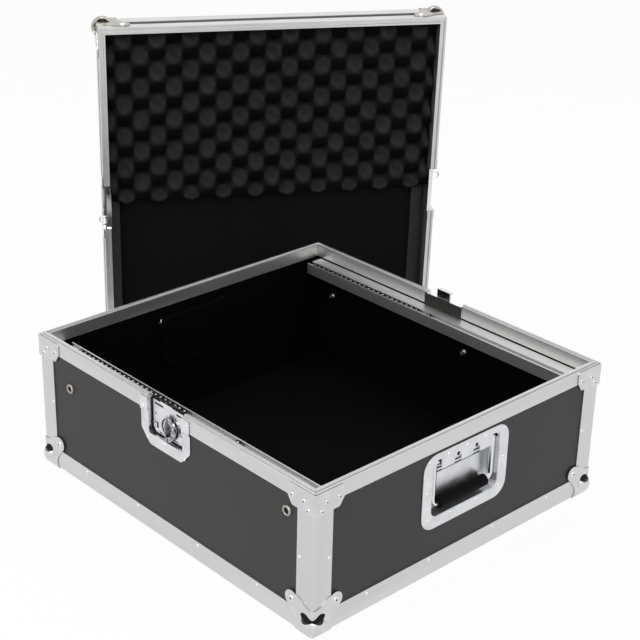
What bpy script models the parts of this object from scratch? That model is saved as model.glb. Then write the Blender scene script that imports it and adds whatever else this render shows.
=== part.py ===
"""Rack case for 19 inch equipment: a shallow base with slotted rails, and its lift-off lid.

The base lies flat with its mouth up.  The lid stands beside the base's far corner on one edge,
with its mouth towards the viewer.  Metres, +Z up.  The origin is the middle of the underside of
the floor panel.  +X runs across the rack width: the two latches are on the faces x = -WIDTH / 2
and x = +WIDTH / 2.  +Y runs along the depth: the two handles are on the faces y = -DEPTH / 2
(front) and y = +DEPTH / 2 (back).  An inset is a distance inwards from one of those faces.
"""
import math

import bmesh
import bpy
from mathutils import Matrix, Vector

# The case, whose width follows the 19 inch standard's spacing of the rails' slots
SLOT_SPACING = 0.4651
SLOT_INSET = 0.0352
DEPTH = 0.5745
HEIGHT = 0.2052
LID_HEIGHT = 0.0513
PANEL = 0.0067
GAP = 0.0003

# Aluminium edge angles
SKIN = 0.0015
LEG = 0.0303
ARRIS = 0.0026
LID_LEG = 0.0215

# Tongue-and-groove rim where base and lid meet
RIM_WEB = 0.0046
RIM_FLANGE = 0.0200
LID_FLANGE = 0.0169
RIM_INNER_FLANGE = 0.0185
RIM_INNER_SKIN = 0.0012
TONGUE = 0.0020
TONGUE_HALF = 0.0018
TONGUE_CROWN = 0.0012
GROOVE_WIDTH = 0.0008
GROOVE_DEPTH = 0.0006
TONGUE_PLAY = 0.0003

# Ball corners
BALL_PROUD = 0.0026
BALL_RADIUS = 0.0087
BALL_BODY = 0.0267
BALL_RELIEF = 0.0067
EAR_SKIN = 0.0012
EAR_REACH = 0.0421
EAR_NECK = 0.0267
EAR_CENTRE = 0.0369
EAR_RADIUS = 0.0097
EAR_CORNER = 0.0030
SCALLOP_RADIUS = 0.0205
SCALLOP_LOW = 0.0256

# Braces over the corners of the base's rim
BRACE_SKIN = 0.0012
BRACE_REACH = 0.0472
BRACE_FOOT = 0.0390
BRACE_HEIGHT = 0.0292
BRACE_SHOULDER = 0.0169
BRACE_BELOW_RIM = 0.0015
BRACE_POINT = 0.003
BRACE_NICK = 0.0025

# Slotted rack rails and their sliding nuts
SLOT_WIDTH = 0.0082
RAIL_SKIN = 0.0020
RAIL_END_GAP = 0.0105
RAIL_LIP = 0.0021
RAIL_SIDE = 0.0174
RAIL_FLANGE = 0.0595
RAIL_BELOW_RIM = 0.0200
CHANNEL_HALF = 0.0052
CHANNEL_DEPTH = 0.0036
CHANNEL_WALL = 0.0015
NUT_PITCH = 0.0102
NUT_PLAY = 0.0002
NUT_CORNER = 0.0022
NUT_HOLE = 0.0026
ROW_NUTS = {"left": 24, "right": 23}
ROW_END = {"left": 0.0236, "right": 0.0066}
LOOSE_NUT = {"left": 0.1035, "right": 0.0204}
BOLT_BACK_END = {"left": 0.0494, "right": 0.0344}
BOLT_FRONT_END = {"left": 0.0293, "right": 0.2134}
BOLT_BACK_DROP = {"left": 0.0416, "right": 0.0531}
BOLT_FRONT_DROP = {"left": 0.0250, "right": 0.0469}
BOLT_RADIUS = 0.0025
BOLT_HOLE = 0.0029
WASHER_RADIUS = 0.0068
WASHER_HEIGHT = 0.0024
SPACER_RADIUS = 0.0055
BOLT_END = 0.0050
NUT_RADIUS = 0.0045
NUT_HEIGHT = 0.0032

# Butterfly latches, one in the middle of each side
LATCH_SKIN = 0.0012
LATCH_HALF = 0.0513
LATCH_LOW = 0.0698
LATCH_CHAMFER_SIDE = 0.0185
LATCH_CHAMFER_RISE = 0.0190
LATCH_TOP_GAP = 0.0020
LATCH_CORNER = 0.0082
JOGGLE_GAP = 0.0035
JOGGLE_RISE = 0.0040
PAN_HALF = 0.0354
PAN_LOW = 0.0533
PAN_DEPTH = 0.0101
AXLE_DROP = 0.0339
AXLE_RADIUS = 0.0040
AXLE_PLAY = 0.0003
DISC_RADIUS = 0.0125
DISC_THICKNESS = 0.0025
WING_LENGTH = 0.0246
WING_THICKNESS = 0.0026
WING_HEIGHT = 0.0055
WING_CORNER = 0.0030
ARM_HALF = 0.0128
ARM_SKIN = 0.0025
ARM_FOOT_DROP = 0.0518
ARM_TOP_RISE = 0.0010
CLAW_THICKNESS = 0.0030
CLAW_REACH = 0.0045
LATCH_THROW = 0.0112
CRANK_PIN_RADIUS = 0.0018
YOKE_PLAY = 0.0015
GUIDE_WIDTH = 0.0030
GUIDE_LENGTH = 0.0300

# Recessed spring handles
DISH_SKIN = 0.0012
DISH_HALF = 0.0810
DISH_LOW = 0.0689
DISH_TOP = 0.1791
DISH_CORNER = 0.0226
BAY_HALF = 0.0636
BAY_LOW = 0.0857
BAY_TOP = 0.1693
BAY_CORNER = 0.0103
BAY_DEPTH = 0.0154
BAY_TAPER = 0.94
BAIL_RADIUS = 0.0036
BAIL_HALF = 0.0554
BAIL_PIVOT_Z = 0.1626
BAIL_INSET = 0.0066
BAIL_DROP = 0.0626
BAIL_BEND = 0.0092
KNUCKLE_PLAY = 0.0005
KNUCKLE_SKIN = 0.0012
KNUCKLE_WIDTH = 0.0226
KNUCKLE_PITCH = 0.0349
HINGE_HALF = 0.0482
HINGE_LOW = 0.1534
GRIP_RADIUS = 0.0082
GRIP_HALF = 0.0441
GRIP_PLAY = 0.0002

# Strikes on the lid
STRIKE_LOW = 0.0287
STRIKE_PAN_LOW = 0.0226
STRIKE_CHAMFER = 0.0080
STRIKE_LIP = 0.0060
STRIKE_LIP_SKIN = 0.0015
LOOP_RADIUS = 0.0051
LOOP_WIRE = 0.0012
LOOP_REACH = 0.0072
LOOP_OFFSET = 0.0226
LOOP_HEIGHT = 0.0103

# Foam and lining in the lid
FOAM_PITCH = 0.0513
FOAM_STEP = 0.0128
FOAM_BASE = 0.0154
FOAM_WAVE = 0.0092
FOAM_SHARE = 0.50
LINING = 0.0041
LINING_INSET = 0.0164

# Where the lid stands, measured from the base's far corner
LID_BACK = 0.0062
LID_ALONG = -0.0764
LID_TURN = math.radians(-30.27)
LID_LEAN = math.radians(2.5)

# Worked out from the sizes above
HALF_W = SLOT_SPACING / 2 + SLOT_INSET
WIDTH = 2 * HALF_W
HALF_D = DEPTH / 2
PANEL_OUT = SKIN + GAP
PANEL_IN = PANEL_OUT + PANEL
RIM_THICKNESS = PANEL_IN + GAP + RIM_INNER_SKIN
UNDERSIDE = -PANEL_OUT
FLOOR_LINE = UNDERSIDE - BALL_PROUD
RIM_Z = UNDERSIDE + HEIGHT
FLANGE_Z = RIM_Z - RIM_FLANGE
WALL_TOP = RIM_Z - RIM_WEB - GAP
LATCH_BACK = PAN_DEPTH + LATCH_SKIN
CUT_HALF = PAN_HALF + LATCH_SKIN + GAP
RAIL_FACE = HALF_W - LATCH_BACK - 2 * GAP
RAIL_TOP = RIM_Z - RAIL_BELOW_RIM
SLOT_X = SLOT_SPACING / 2
RAIL_HALF = HALF_D - RIM_THICKNESS - RAIL_END_GAP
RAIL_BOLTS = {side: ((RAIL_HALF - BOLT_BACK_END[side], RAIL_TOP - BOLT_BACK_DROP[side]),
                     (BOLT_FRONT_END[side] - RAIL_HALF, RAIL_TOP - BOLT_FRONT_DROP[side]))
              for side in ("left", "right")}
ROW_START = {side: RAIL_HALF - ROW_END[side] - ROW_NUTS[side] * NUT_PITCH for side in ("left", "right")}
AXLE_Z = RIM_Z - AXLE_DROP
AROUND = 12
NUT_AROUND = 8
CORNERS = {"left_front": (-1, -1, 180), "right_front": (1, -1, 270),
           "right_back": (1, 1, 0), "left_back": (-1, 1, 90)}

for stale in list(bpy.data.objects):
    bpy.data.objects.remove(stale)

case = bpy.data.collections.new("rack_case")
workbench = bpy.data.collections.new("workbench")
for group in (case, workbench):
    bpy.context.scene.collection.children.link(group)


def finish(name, colour, roughness, metallic):
    """A plain material."""
    material = bpy.data.materials.new(name)
    material.use_nodes = True
    shader = material.node_tree.nodes["Principled BSDF"]
    shader.inputs["Base Color"].default_value = (*colour, 1)
    shader.inputs["Roughness"].default_value = roughness
    shader.inputs["Metallic"].default_value = metallic
    return material


LAMINATE = finish("black_laminate", (0.018, 0.018, 0.020), 0.45, 0.0)
ALUMINIUM = finish("satin_aluminium", (0.70, 0.71, 0.73), 0.38, 1.0)
ZINC = finish("zinc_plate", (0.72, 0.72, 0.73), 0.25, 1.0)
DARK_STEEL = finish("dark_nuts", (0.16, 0.13, 0.10), 0.40, 1.0)
RUBBER = finish("grip_rubber", (0.012, 0.012, 0.013), 0.70, 0.0)
FOAM = finish("black_foam", (0.020, 0.020, 0.022), 0.95, 0.0)


def bench(mesh):
    """Put a mesh on the workbench as an object."""
    body = bpy.data.objects.new("stock", mesh)
    workbench.objects.link(body)
    return body


def settle(body):
    """Give the body a plain mesh in place of its curve or its modifiers."""
    view = bpy.context.evaluated_depsgraph_get()
    mesh = bpy.data.meshes.new_from_object(body.evaluated_get(view))
    bm = bmesh.new()
    bm.from_mesh(mesh)
    if body.type == "CURVE":
        bmesh.ops.remove_doubles(bm, verts=bm.verts, dist=1e-6)
    bmesh.ops.recalc_face_normals(bm, faces=bm.faces)
    bm.to_mesh(mesh)
    bm.free()
    bpy.data.objects.remove(body)
    return bench(mesh)


def combine(body, tool, operation):
    """Apply one Boolean to the body and use up the tool."""
    step = body.modifiers.new("shape", "BOOLEAN")
    step.operation = operation
    step.object = tool
    result = settle(body)
    bpy.data.objects.remove(tool)
    return result


def cut(body, *tools):
    for tool in tools:
        body = combine(body, tool, "DIFFERENCE")
    return body


def fuse(body, *others):
    for other in others:
        body = combine(body, other, "UNION")
    return body


def keep(body, tool):
    return combine(body, tool, "INTERSECT")


def box(low, high):
    """A block between two corners, given in any order."""
    size = [abs(b - a) for a, b in zip(low, high)]
    middle = [(a + b) / 2 for a, b in zip(low, high)]
    bm = bmesh.new()
    bmesh.ops.create_cube(bm, size=1, matrix=Matrix.Translation(middle) @ Matrix.Diagonal((*size, 1)))
    mesh = bpy.data.meshes.new("block")
    bm.to_mesh(mesh)
    bm.free()
    return bench(mesh)


def prism(outline, axis, start, end, holes=()):
    """A closed outline, with or without holes, pushed along an axis.  It is given in y, z or x, z or x, y."""
    curve = bpy.data.curves.new("outline", "CURVE")
    curve.dimensions = "2D"
    curve.fill_mode = "BOTH"
    curve.extrude = abs(end - start) / 2
    for loop in (outline, *holes):
        spline = curve.splines.new("POLY")
        spline.points.add(len(loop) - 1)
        for point, (u, v) in zip(spline.points, loop):
            point.co = (u, v, 0, 1)
        spline.use_cyclic_u = True
    body = settle(bench(curve))
    turn = {"x": ((0, 0, 1), (1, 0, 0), (0, 1, 0)), "y": ((1, 0, 0), (0, 0, -1), (0, 1, 0)),
            "z": ((1, 0, 0), (0, 1, 0), (0, 0, 1))}[axis]
    middle = Vector([(start + end) / 2 if name == axis else 0 for name in "xyz"])
    body.data.transform(Matrix.Translation(middle) @ Matrix(turn).to_4x4())
    return body


def rounded(points, radius, steps=4):
    """The outline with its corners rounded.  A radius may be given for each corner."""
    radii = radius if isinstance(radius, (list, tuple)) else [radius] * len(points)
    outline = []
    for index, corner in enumerate(points):
        here = Vector(corner)
        back = (Vector(points[index - 1]) - here).normalized()
        on = (Vector(points[(index + 1) % len(points)]) - here).normalized()
        if radii[index] == 0:
            outline.append(tuple(here))
            continue
        half = back.angle(on) / 2
        centre = here + (back + on).normalized() * radii[index] / math.sin(half)
        first = here + back * radii[index] / math.tan(half) - centre
        last = here + on * radii[index] / math.tan(half) - centre
        sweep = first.angle_signed(last)
        for step in range(steps + 1):
            outline.append(tuple(centre + Matrix.Rotation(-sweep * step / steps, 2) @ first))
    return outline


def rod(radius, axis, start, end, across=(0, 0), segments=AROUND):
    """A cylinder along x, y or z.  across is its place on the two other axes."""
    bm = bmesh.new()
    bmesh.ops.create_cone(bm, cap_ends=True, segments=segments, radius1=radius, radius2=radius,
                          depth=abs(end - start))
    mesh = bpy.data.meshes.new("rod")
    bm.to_mesh(mesh)
    bm.free()
    others = iter(across)
    place = Vector([(start + end) / 2 if name == axis else next(others) for name in "xyz"])
    turn = {"x": Matrix.Rotation(math.pi / 2, 4, "Y"), "y": Matrix.Rotation(math.pi / 2, 4, "X"),
            "z": Matrix.Identity(4)}[axis]
    mesh.transform(Matrix.Translation(place) @ turn)
    return bench(mesh)


def turned(profile, segments=AROUND):
    """A profile of radius and height, turned about Z."""
    mesh = bpy.data.meshes.new("profile")
    mesh.from_pydata([(r, 0, z) for r, z in profile], [(i, i + 1) for i in range(len(profile) - 1)], [])
    body = bench(mesh)
    screw = body.modifiers.new("turn", "SCREW")
    screw.steps = screw.render_steps = segments
    screw.use_merge_vertices = True
    screw.merge_threshold = 0.00001
    return settle(body)


def wire(points, radius, closed=False, resolution=2):
    """A round bar along a route."""
    curve = bpy.data.curves.new("route", "CURVE")
    curve.dimensions = "3D"
    curve.bevel_depth = radius
    curve.bevel_resolution = resolution
    curve.use_fill_caps = not closed
    spline = curve.splines.new("POLY")
    spline.points.add(len(points) - 1)
    for point, place in zip(spline.points, points):
        point.co = (*place, 1)
    spline.use_cyclic_u = closed
    return settle(bench(curve))


def add_part(name, body, material, place=(0, 0, 0), turn=0.0, parent=None, frame=None):
    """Name a finished shape and put it in the case.  turn is in degrees about Z."""
    mesh = body.data.copy()
    mesh.materials.clear()
    mesh.materials.append(material)
    mesh.shade_smooth()
    mesh.set_sharp_from_angle(angle=math.radians(30))
    part = bpy.data.objects.new(name, mesh)
    upright = Matrix.Translation(place) @ Matrix.Rotation(math.radians(turn), 4, "Z")
    part.matrix_local = frame if frame else upright
    part.parent = parent
    case.objects.link(part)
    return part


def centred(body, origin):
    """Move a shape so that the given point becomes its own origin."""
    body.data.transform(Matrix.Translation(-Vector(origin)))
    return body


# Sections are given as inset and height, with the outer face at inset 0


def rim_section(top, flange, inner_flange, ridge):
    """The channel that holds a panel's edge.  ridge is the tongue's height, or minus a groove's depth."""
    middle = RIM_THICKNESS / 2
    foot = TONGUE_HALF if ridge > 0 else TONGUE_HALF + TONGUE_PLAY
    crown = TONGUE_CROWN if ridge > 0 else TONGUE_CROWN + TONGUE_PLAY
    slot = PANEL_IN + GAP
    base = top - GROOVE_DEPTH if ridge > 0 else top
    section = [(0, top - flange), (SKIN, top - flange), (SKIN, top - RIM_WEB), (slot, top - RIM_WEB),
               (slot, top - inner_flange), (RIM_THICKNESS, top - inner_flange), (RIM_THICKNESS, top)]
    if ridge > 0:
        section += [(middle + foot + GROOVE_WIDTH, top), (middle + foot + GROOVE_WIDTH, base)]
    section += [(middle + foot, base), (middle + crown, top + ridge), (middle - crown, top + ridge),
                (middle - foot, base)]
    if ridge > 0:
        section += [(middle - foot - GROOVE_WIDTH, base), (middle - foot - GROOVE_WIDTH, top)]
    return section + [(0, top)]


def angle_section(low, leg, flat_leg):
    """An edge angle round the lower outer corner, with a rounded arris."""
    corners = [(0, low + leg), (0, low), (flat_leg, low), (flat_leg, low + SKIN),
               (SKIN, low + SKIN), (SKIN, low + leg)]
    return rounded(corners, [0, ARRIS, 0, 0, 0, 0])


def length_of(section, half, near_cut=None, trim=0.0):
    """One length along Y with mitred ends, its outer face at x = 0.

    near_cut is the place of a square end that takes the place of the mitre at the -Y end.
    trim shortens the outer leg, so that a rounded corner piece closes over it.
    """
    body = prism([(-inset, z) for inset, z in section], "y", -half, half)
    for vertex in body.data.vertices:
        inset = max(-vertex.co.x, trim)
        if vertex.co.y > 0:
            vertex.co.y = half - inset - GAP
        elif near_cut is None:
            vertex.co.y = inset + GAP - half
        else:
            vertex.co.y = near_cut
    return body


def frame_of(section, half_x, half_y):
    """A section led round a rectangle with mitred corners, as one closed loft."""
    bm = bmesh.new()
    rings = []
    for side_x, side_y in ((1, 1), (-1, 1), (-1, -1), (1, -1)):
        rings.append([bm.verts.new((side_x * (half_x - inset), side_y * (half_y - inset), z))
                      for inset, z in section])
    for ring, following in zip(rings, rings[1:] + rings[:1]):
        for index in range(len(section)):
            on = (index + 1) % len(section)
            bm.faces.new((ring[index], ring[on], following[on], following[index]))
    bmesh.ops.recalc_face_normals(bm, faces=bm.faces)
    mesh = bpy.data.meshes.new("frame")
    bm.to_mesh(mesh)
    bm.free()
    return bench(mesh)


def corner_relief(x, y, z, side_x, side_y, side_z):
    """A tool that takes the sharp tip off a corner of the case."""
    bm = bmesh.new()
    bmesh.ops.create_cube(bm, size=1)
    reach = 4 * BALL_RELIEF
    mesh = bpy.data.meshes.new("relief")
    bm.to_mesh(mesh)
    bm.free()
    outwards = Vector((side_x, side_y, side_z)).normalized()
    turn = outwards.to_track_quat("Z", "Y").to_matrix().to_4x4()
    tip = Vector((x, y, z))
    middle = tip - outwards * (BALL_RELIEF / math.sqrt(3) - reach / 2)
    mesh.transform(Matrix.Translation(middle) @ turn @ Matrix.Scale(reach, 4))
    return bench(mesh)


def corner_reliefs(z, side_z):
    return [corner_relief(sx * HALF_W, sy * HALF_D, z, sx, sy, side_z) for sx, sy, _ in CORNERS.values()]


# Panels


def make_panels():
    inner_x = HALF_W - PANEL_IN - GAP
    inner_y = HALF_D - PANEL_IN - GAP
    add_part("floor_panel", box((-inner_x, -inner_y, 0), (inner_x, inner_y, PANEL)), LAMINATE)

    for side, sign in (("left", -1), ("right", 1)):
        wall = box((sign * (HALF_W - PANEL_OUT), PANEL_OUT - HALF_D, 0),
                   (sign * (HALF_W - PANEL_IN), HALF_D - PANEL_OUT, WALL_TOP))
        pocket = box((sign * WIDTH, -CUT_HALF, RIM_Z - PAN_LOW - LATCH_SKIN - GAP), (0, CUT_HALF, 2 * RIM_Z))
        holes = [rod(BOLT_HOLE, "x", sign * WIDTH, 0, (y, z)) for y, z in RAIL_BOLTS[side]]
        wall = cut(wall, pocket, *holes, *corner_reliefs(UNDERSIDE, -1))
        add_part("latch_wall_" + side, wall, LAMINATE)

    window_half = BAY_HALF + DISH_SKIN + GAP
    window_low = BAY_LOW - DISH_SKIN - GAP
    window_top = BAY_TOP + DISH_SKIN + GAP
    window = rounded([(-window_half, window_low), (window_half, window_low), (window_half, window_top),
                      (-window_half, window_top)], BAY_CORNER)
    for side, sign in (("front", -1), ("back", 1)):
        wall = box((-inner_x, sign * (HALF_D - PANEL_OUT), 0),
                   (inner_x, sign * (HALF_D - PANEL_IN), WALL_TOP))
        wall = cut(wall, prism(window, "y", sign * DEPTH, 0))
        add_part("handle_wall_" + side, wall, LAMINATE)


# Aluminium edges of the base


def make_edges():
    rim = rim_section(RIM_Z, RIM_FLANGE, RIM_INNER_FLANGE, TONGUE)
    across = length_of(rim, HALF_W)
    add_part("rim_back", across, ALUMINIUM, (0, HALF_D, 0), 90)
    add_part("rim_front", across, ALUMINIUM, (0, -HALF_D, 0), -90)
    plus_end = length_of(rim, HALF_D, near_cut=CUT_HALF)
    minus_end = bench(plus_end.data.copy())
    for vertex in minus_end.data.vertices:
        vertex.co.y = -vertex.co.y
    minus_end.data.flip_normals()
    add_part("rim_right_back", plus_end, ALUMINIUM, (HALF_W, 0, 0))
    add_part("rim_right_front", minus_end, ALUMINIUM, (HALF_W, 0, 0))
    add_part("rim_left_front", plus_end, ALUMINIUM, (-HALF_W, 0, 0), 180)
    add_part("rim_left_back", minus_end, ALUMINIUM, (-HALF_W, 0, 0), 180)

    low = angle_section(UNDERSIDE, LEG, LEG)
    for name, half, other, turn in (("right", HALF_D, HALF_W, 0), ("left", HALF_D, HALF_W, 180),
                                    ("back", HALF_W, HALF_D, 90), ("front", HALF_W, HALF_D, -90)):
        body = length_of(low, half, trim=ARRIS)
        for end in (-1, 1):
            body = cut(body, corner_relief(0, end * half, UNDERSIDE, 1, end, -1))
        place = Matrix.Rotation(math.radians(turn), 3, "Z") @ Vector((other, 0, 0))
        add_part("base_angle_" + name, body, ALUMINIUM, place, turn)

    plan = rounded([(-LEG, 0), (0, 0), (0, -LEG), (-SKIN, -LEG), (-SKIN, -SKIN), (-LEG, -SKIN)],
                   [0, ARRIS, 0, 0, 0, 0])
    upright = prism(plan, "z", UNDERSIDE + LEG + GAP, FLANGE_Z - GAP)
    for corner, (sx, sy, turn) in CORNERS.items():
        add_part("upright_angle_" + corner, upright, ALUMINIUM, (sx * HALF_W, sy * HALF_D, 0), turn)


# Stamped ball corners and braces, with the case's own corner at 0 and its faces at +X, +Y and -Z


def corner_block(proud, reach, radius):
    """A block round the corner, with its three outer edges rounded."""
    body = box((-reach, -reach, -proud), (proud, proud, reach))
    bm = bmesh.new()
    bm.from_mesh(body.data)
    tip = max(bm.verts, key=lambda vertex: vertex.co.x + vertex.co.y - vertex.co.z)
    bmesh.ops.bevel(bm, geom=list(tip.link_edges), offset=radius, segments=4, affect="EDGES", profile=0.5)
    bm.to_mesh(body.data)
    bm.free()
    return body


def ball_corner(scalloped):
    """Ball, three ears and, over one edge, a scallop that shows the angle beneath."""
    body = corner_block(BALL_PROUD, BALL_BODY, BALL_RADIUS)
    corners = [(GAP + EAR_SKIN, GAP + EAR_SKIN), (-EAR_REACH, GAP + EAR_SKIN), (-EAR_REACH, -EAR_NECK),
               (-EAR_CENTRE - EAR_RADIUS, -EAR_CENTRE - EAR_RADIUS),
               (-EAR_NECK, -EAR_REACH), (GAP + EAR_SKIN, -EAR_REACH)]
    ear = rounded(corners, [0, 0, EAR_CORNER, EAR_RADIUS, EAR_CORNER, 0], steps=5)
    flat = prism(ear, "z", -GAP, -GAP - EAR_SKIN)
    side_x = prism([(u, -v) for u, v in ear], "x", GAP, GAP + EAR_SKIN)
    side_y = prism([(u, -v) for u, v in ear], "y", GAP, GAP + EAR_SKIN)
    body = fuse(body, flat, side_x, side_y)
    cavity = corner_block(GAP, 2 * EAR_REACH, ARRIS + GAP)
    tip = corner_relief(0, 0, 0, 1, 1, -1)
    tip.data.transform(Matrix.Translation(Vector((1, 1, -1)).normalized() * GAP))
    cavity = cut(cavity, tip)
    body = cut(body, cavity)
    if scalloped:
        scallop = rod(SCALLOP_RADIUS, "x", -EAR_REACH, EAR_REACH, segments=24)
        scallop.data.transform(Matrix.Translation((0, 0, SCALLOP_LOW + SCALLOP_RADIUS))
                               @ Matrix.Rotation(math.radians(45), 4, "Z"))
        body = cut(body, scallop)
    return body


def rim_brace():
    """The stamped V over a corner of the rim."""
    thick = GAP + BRACE_SKIN
    top = RIM_Z - BRACE_BELOW_RIM
    low = top - BRACE_HEIGHT
    corners = [(thick, low - BRACE_POINT), (-LEG, low), (-BRACE_FOOT, low),
               (-BRACE_REACH, top - BRACE_SHOULDER), (-BRACE_REACH, top - BRACE_NICK),
               (-BRACE_REACH + BRACE_NICK, top), (thick, top)]
    sharp, soft = BRACE_NICK / 2, 1.5 * BRACE_NICK
    leg = rounded(corners, [0, 0, soft, soft, sharp, sharp, 0], steps=3)
    return fuse(prism(leg, "x", GAP, thick), prism(leg, "y", GAP, thick))


def make_corners():
    about = Vector((1, 1, -1))
    scalloped = ball_corner(True)
    brace = rim_brace()
    roll = {"left_front": 0, "left_back": 120, "right_front": -120, "right_back": 120}
    for corner, (sx, sy, turn) in CORNERS.items():
        stand = Matrix.Translation((sx * HALF_W, sy * HALF_D, UNDERSIDE))
        spin = Matrix.Rotation(math.radians(turn), 4, "Z")
        rolled = Matrix.Rotation(math.radians(roll[corner]), 4, about)
        add_part("ball_corner_" + corner, scalloped, ZINC, frame=stand @ spin @ rolled)
        add_part("rim_brace_" + corner, brace, ZINC, (sx * HALF_W, sy * HALF_D, 0), turn)
    return scalloped


# Rack rails


def rail_section():
    """The right-hand rail's section in x and z: slotted channel, inner side and bolting flange."""
    slot = SLOT_WIDTH / 2
    inner = SLOT_X - slot - RAIL_LIP
    low = RAIL_TOP - RAIL_SKIN - CHANNEL_DEPTH
    under = low - RAIL_SKIN
    channel_side = SLOT_X + CHANNEL_HALF + CHANNEL_WALL
    return [(RAIL_FACE, RAIL_TOP), (SLOT_X + slot, RAIL_TOP), (SLOT_X + slot, RAIL_TOP - RAIL_SKIN),
            (SLOT_X + CHANNEL_HALF, RAIL_TOP - RAIL_SKIN), (SLOT_X + CHANNEL_HALF, low),
            (SLOT_X - CHANNEL_HALF, low), (SLOT_X - CHANNEL_HALF, RAIL_TOP - RAIL_SKIN),
            (SLOT_X - slot, RAIL_TOP - RAIL_SKIN), (SLOT_X - slot, RAIL_TOP), (inner, RAIL_TOP),
            (inner, RAIL_TOP - RAIL_SIDE), (inner + CHANNEL_WALL, RAIL_TOP - RAIL_SIDE),
            (inner + CHANNEL_WALL, under), (channel_side, under), (channel_side, RAIL_TOP - RAIL_SKIN),
            (RAIL_FACE - RAIL_SKIN, RAIL_TOP - RAIL_SKIN),
            (RAIL_FACE - RAIL_SKIN, RAIL_TOP - RAIL_FLANGE), (RAIL_FACE, RAIL_TOP - RAIL_FLANGE)]


def rail_bolt(y, z):
    """Cup washer and bolt from outside, spacer, and nut on the flange, for the right-hand wall."""
    outer = HALF_W - PANEL_OUT + GAP
    inner = HALF_W - PANEL_IN - GAP
    nut_face = RAIL_FACE - RAIL_SKIN - NUT_HEIGHT
    profile = [(0, outer + WASHER_HEIGHT), (WASHER_RADIUS * 0.45, outer + WASHER_HEIGHT),
               (WASHER_RADIUS * 0.8, outer + WASHER_HEIGHT * 0.6), (WASHER_RADIUS, outer),
               (BOLT_RADIUS, outer), (BOLT_RADIUS, inner), (SPACER_RADIUS, inner), (SPACER_RADIUS, RAIL_FACE - RAIL_SKIN / 2),
               (NUT_RADIUS, RAIL_FACE - RAIL_SKIN / 2), (NUT_RADIUS, nut_face), (BOLT_RADIUS, nut_face),
               (BOLT_RADIUS, nut_face - BOLT_END), (0, nut_face - BOLT_END)]
    body = turned(profile)
    body.data.transform(Matrix.Translation((0, y, z)) @ Matrix.Rotation(math.pi / 2, 4, "Y"))
    return body


def nut_run(count):
    """Nuts packed in a row along +Y from 0 in the right-hand channel, each with its hole upright."""
    half = CHANNEL_HALF - NUT_PLAY
    edge = []
    for index in range(count):
        start = index * NUT_PITCH
        edge += [(half - NUT_CORNER, start), (half, start + NUT_CORNER)]
        edge += [(half, start + NUT_PITCH - NUT_CORNER)]
    edge.append((half - NUT_CORNER, count * NUT_PITCH))
    outline = [(SLOT_X + u, v) for u, v in edge] + [(SLOT_X - u, v) for u, v in reversed(edge)]
    turns = [2 * math.pi * step / NUT_AROUND for step in range(NUT_AROUND)]
    holes = []
    for index in range(count):
        middle = (index + 0.5) * NUT_PITCH
        holes.append([(SLOT_X + NUT_HOLE * math.cos(a), middle + NUT_HOLE * math.sin(a)) for a in turns])
    low = RAIL_TOP - RAIL_SKIN - CHANNEL_DEPTH + GAP
    return prism(outline, "z", low, RAIL_TOP - RAIL_SKIN - GAP, holes)


def make_rails():
    for side, turn in (("right", 0), ("left", 180)):
        sign = 1 if side == "right" else -1
        rail = prism(rail_section(), "y", -RAIL_HALF, RAIL_HALF)
        for y, z in RAIL_BOLTS[side]:
            rail = fuse(rail, rail_bolt(sign * y, z))
        add_part("rack_rail_" + side, rail, ALUMINIUM, turn=turn)
        count = ROW_NUTS[side]
        shift = 0 if side == "right" else -count * NUT_PITCH
        row = nut_run(count)
        row.data.transform(Matrix.Translation((0, shift, 0)))
        add_part("nut_row_" + side, row, DARK_STEEL, (0, ROW_START[side], 0), turn)
        loose = nut_run(1)
        loose.data.transform(Matrix.Translation((0, -NUT_PITCH / 2, 0)))
        add_part("loose_nut_" + side, loose, DARK_STEEL, (0, ROW_START[side] - LOOSE_NUT[side], 0), turn)


# Butterfly latches, drawn for the right-hand side: x is minus the inset, z is above or below the rim


def pan(low, bottom, chamfer_side, chamfer_rise, flange, top_gap):
    """A recessed plate: it lies on the panel, steps out over the rim, and has an open-topped pan."""
    outer = -PANEL_OUT + GAP + LATCH_SKIN
    inner = -PANEL_OUT + GAP
    proud = GAP + LATCH_SKIN
    step_top = -flange - JOGGLE_GAP + JOGGLE_RISE / 2
    step_low = step_top - JOGGLE_RISE
    top = -top_gap
    sheet = [(inner, low), (outer, low), (outer, step_low), (proud, step_top), (proud, top), (GAP, top),
             (GAP, step_top), (inner, step_low)]
    front = [(-LATCH_HALF, top + GAP), (-LATCH_HALF, low + chamfer_rise), (chamfer_side - LATCH_HALF, low),
             (LATCH_HALF - chamfer_side, low), (LATCH_HALF, low + chamfer_rise), (LATCH_HALF, top + GAP)]
    round_off = [0, LATCH_CORNER, LATCH_CORNER, LATCH_CORNER, LATCH_CORNER, 0]
    body = prism(sheet, "y", -LATCH_HALF, LATCH_HALF)
    body = keep(body, prism(rounded(front, round_off), "x", -PAN_DEPTH, PAN_DEPTH))
    back = -PAN_DEPTH - LATCH_SKIN
    wall = PAN_HALF + LATCH_SKIN
    shell = [(back, bottom - LATCH_SKIN), (outer, bottom - LATCH_SKIN), (outer, step_low), (proud, step_top),
             (proud, top), (back, top)]
    body = fuse(body, prism(shell, "y", -wall, wall))
    return cut(body, box((-PAN_DEPTH, -PAN_HALF, bottom), (PAN_DEPTH, PAN_HALF, PAN_DEPTH)))


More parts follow.
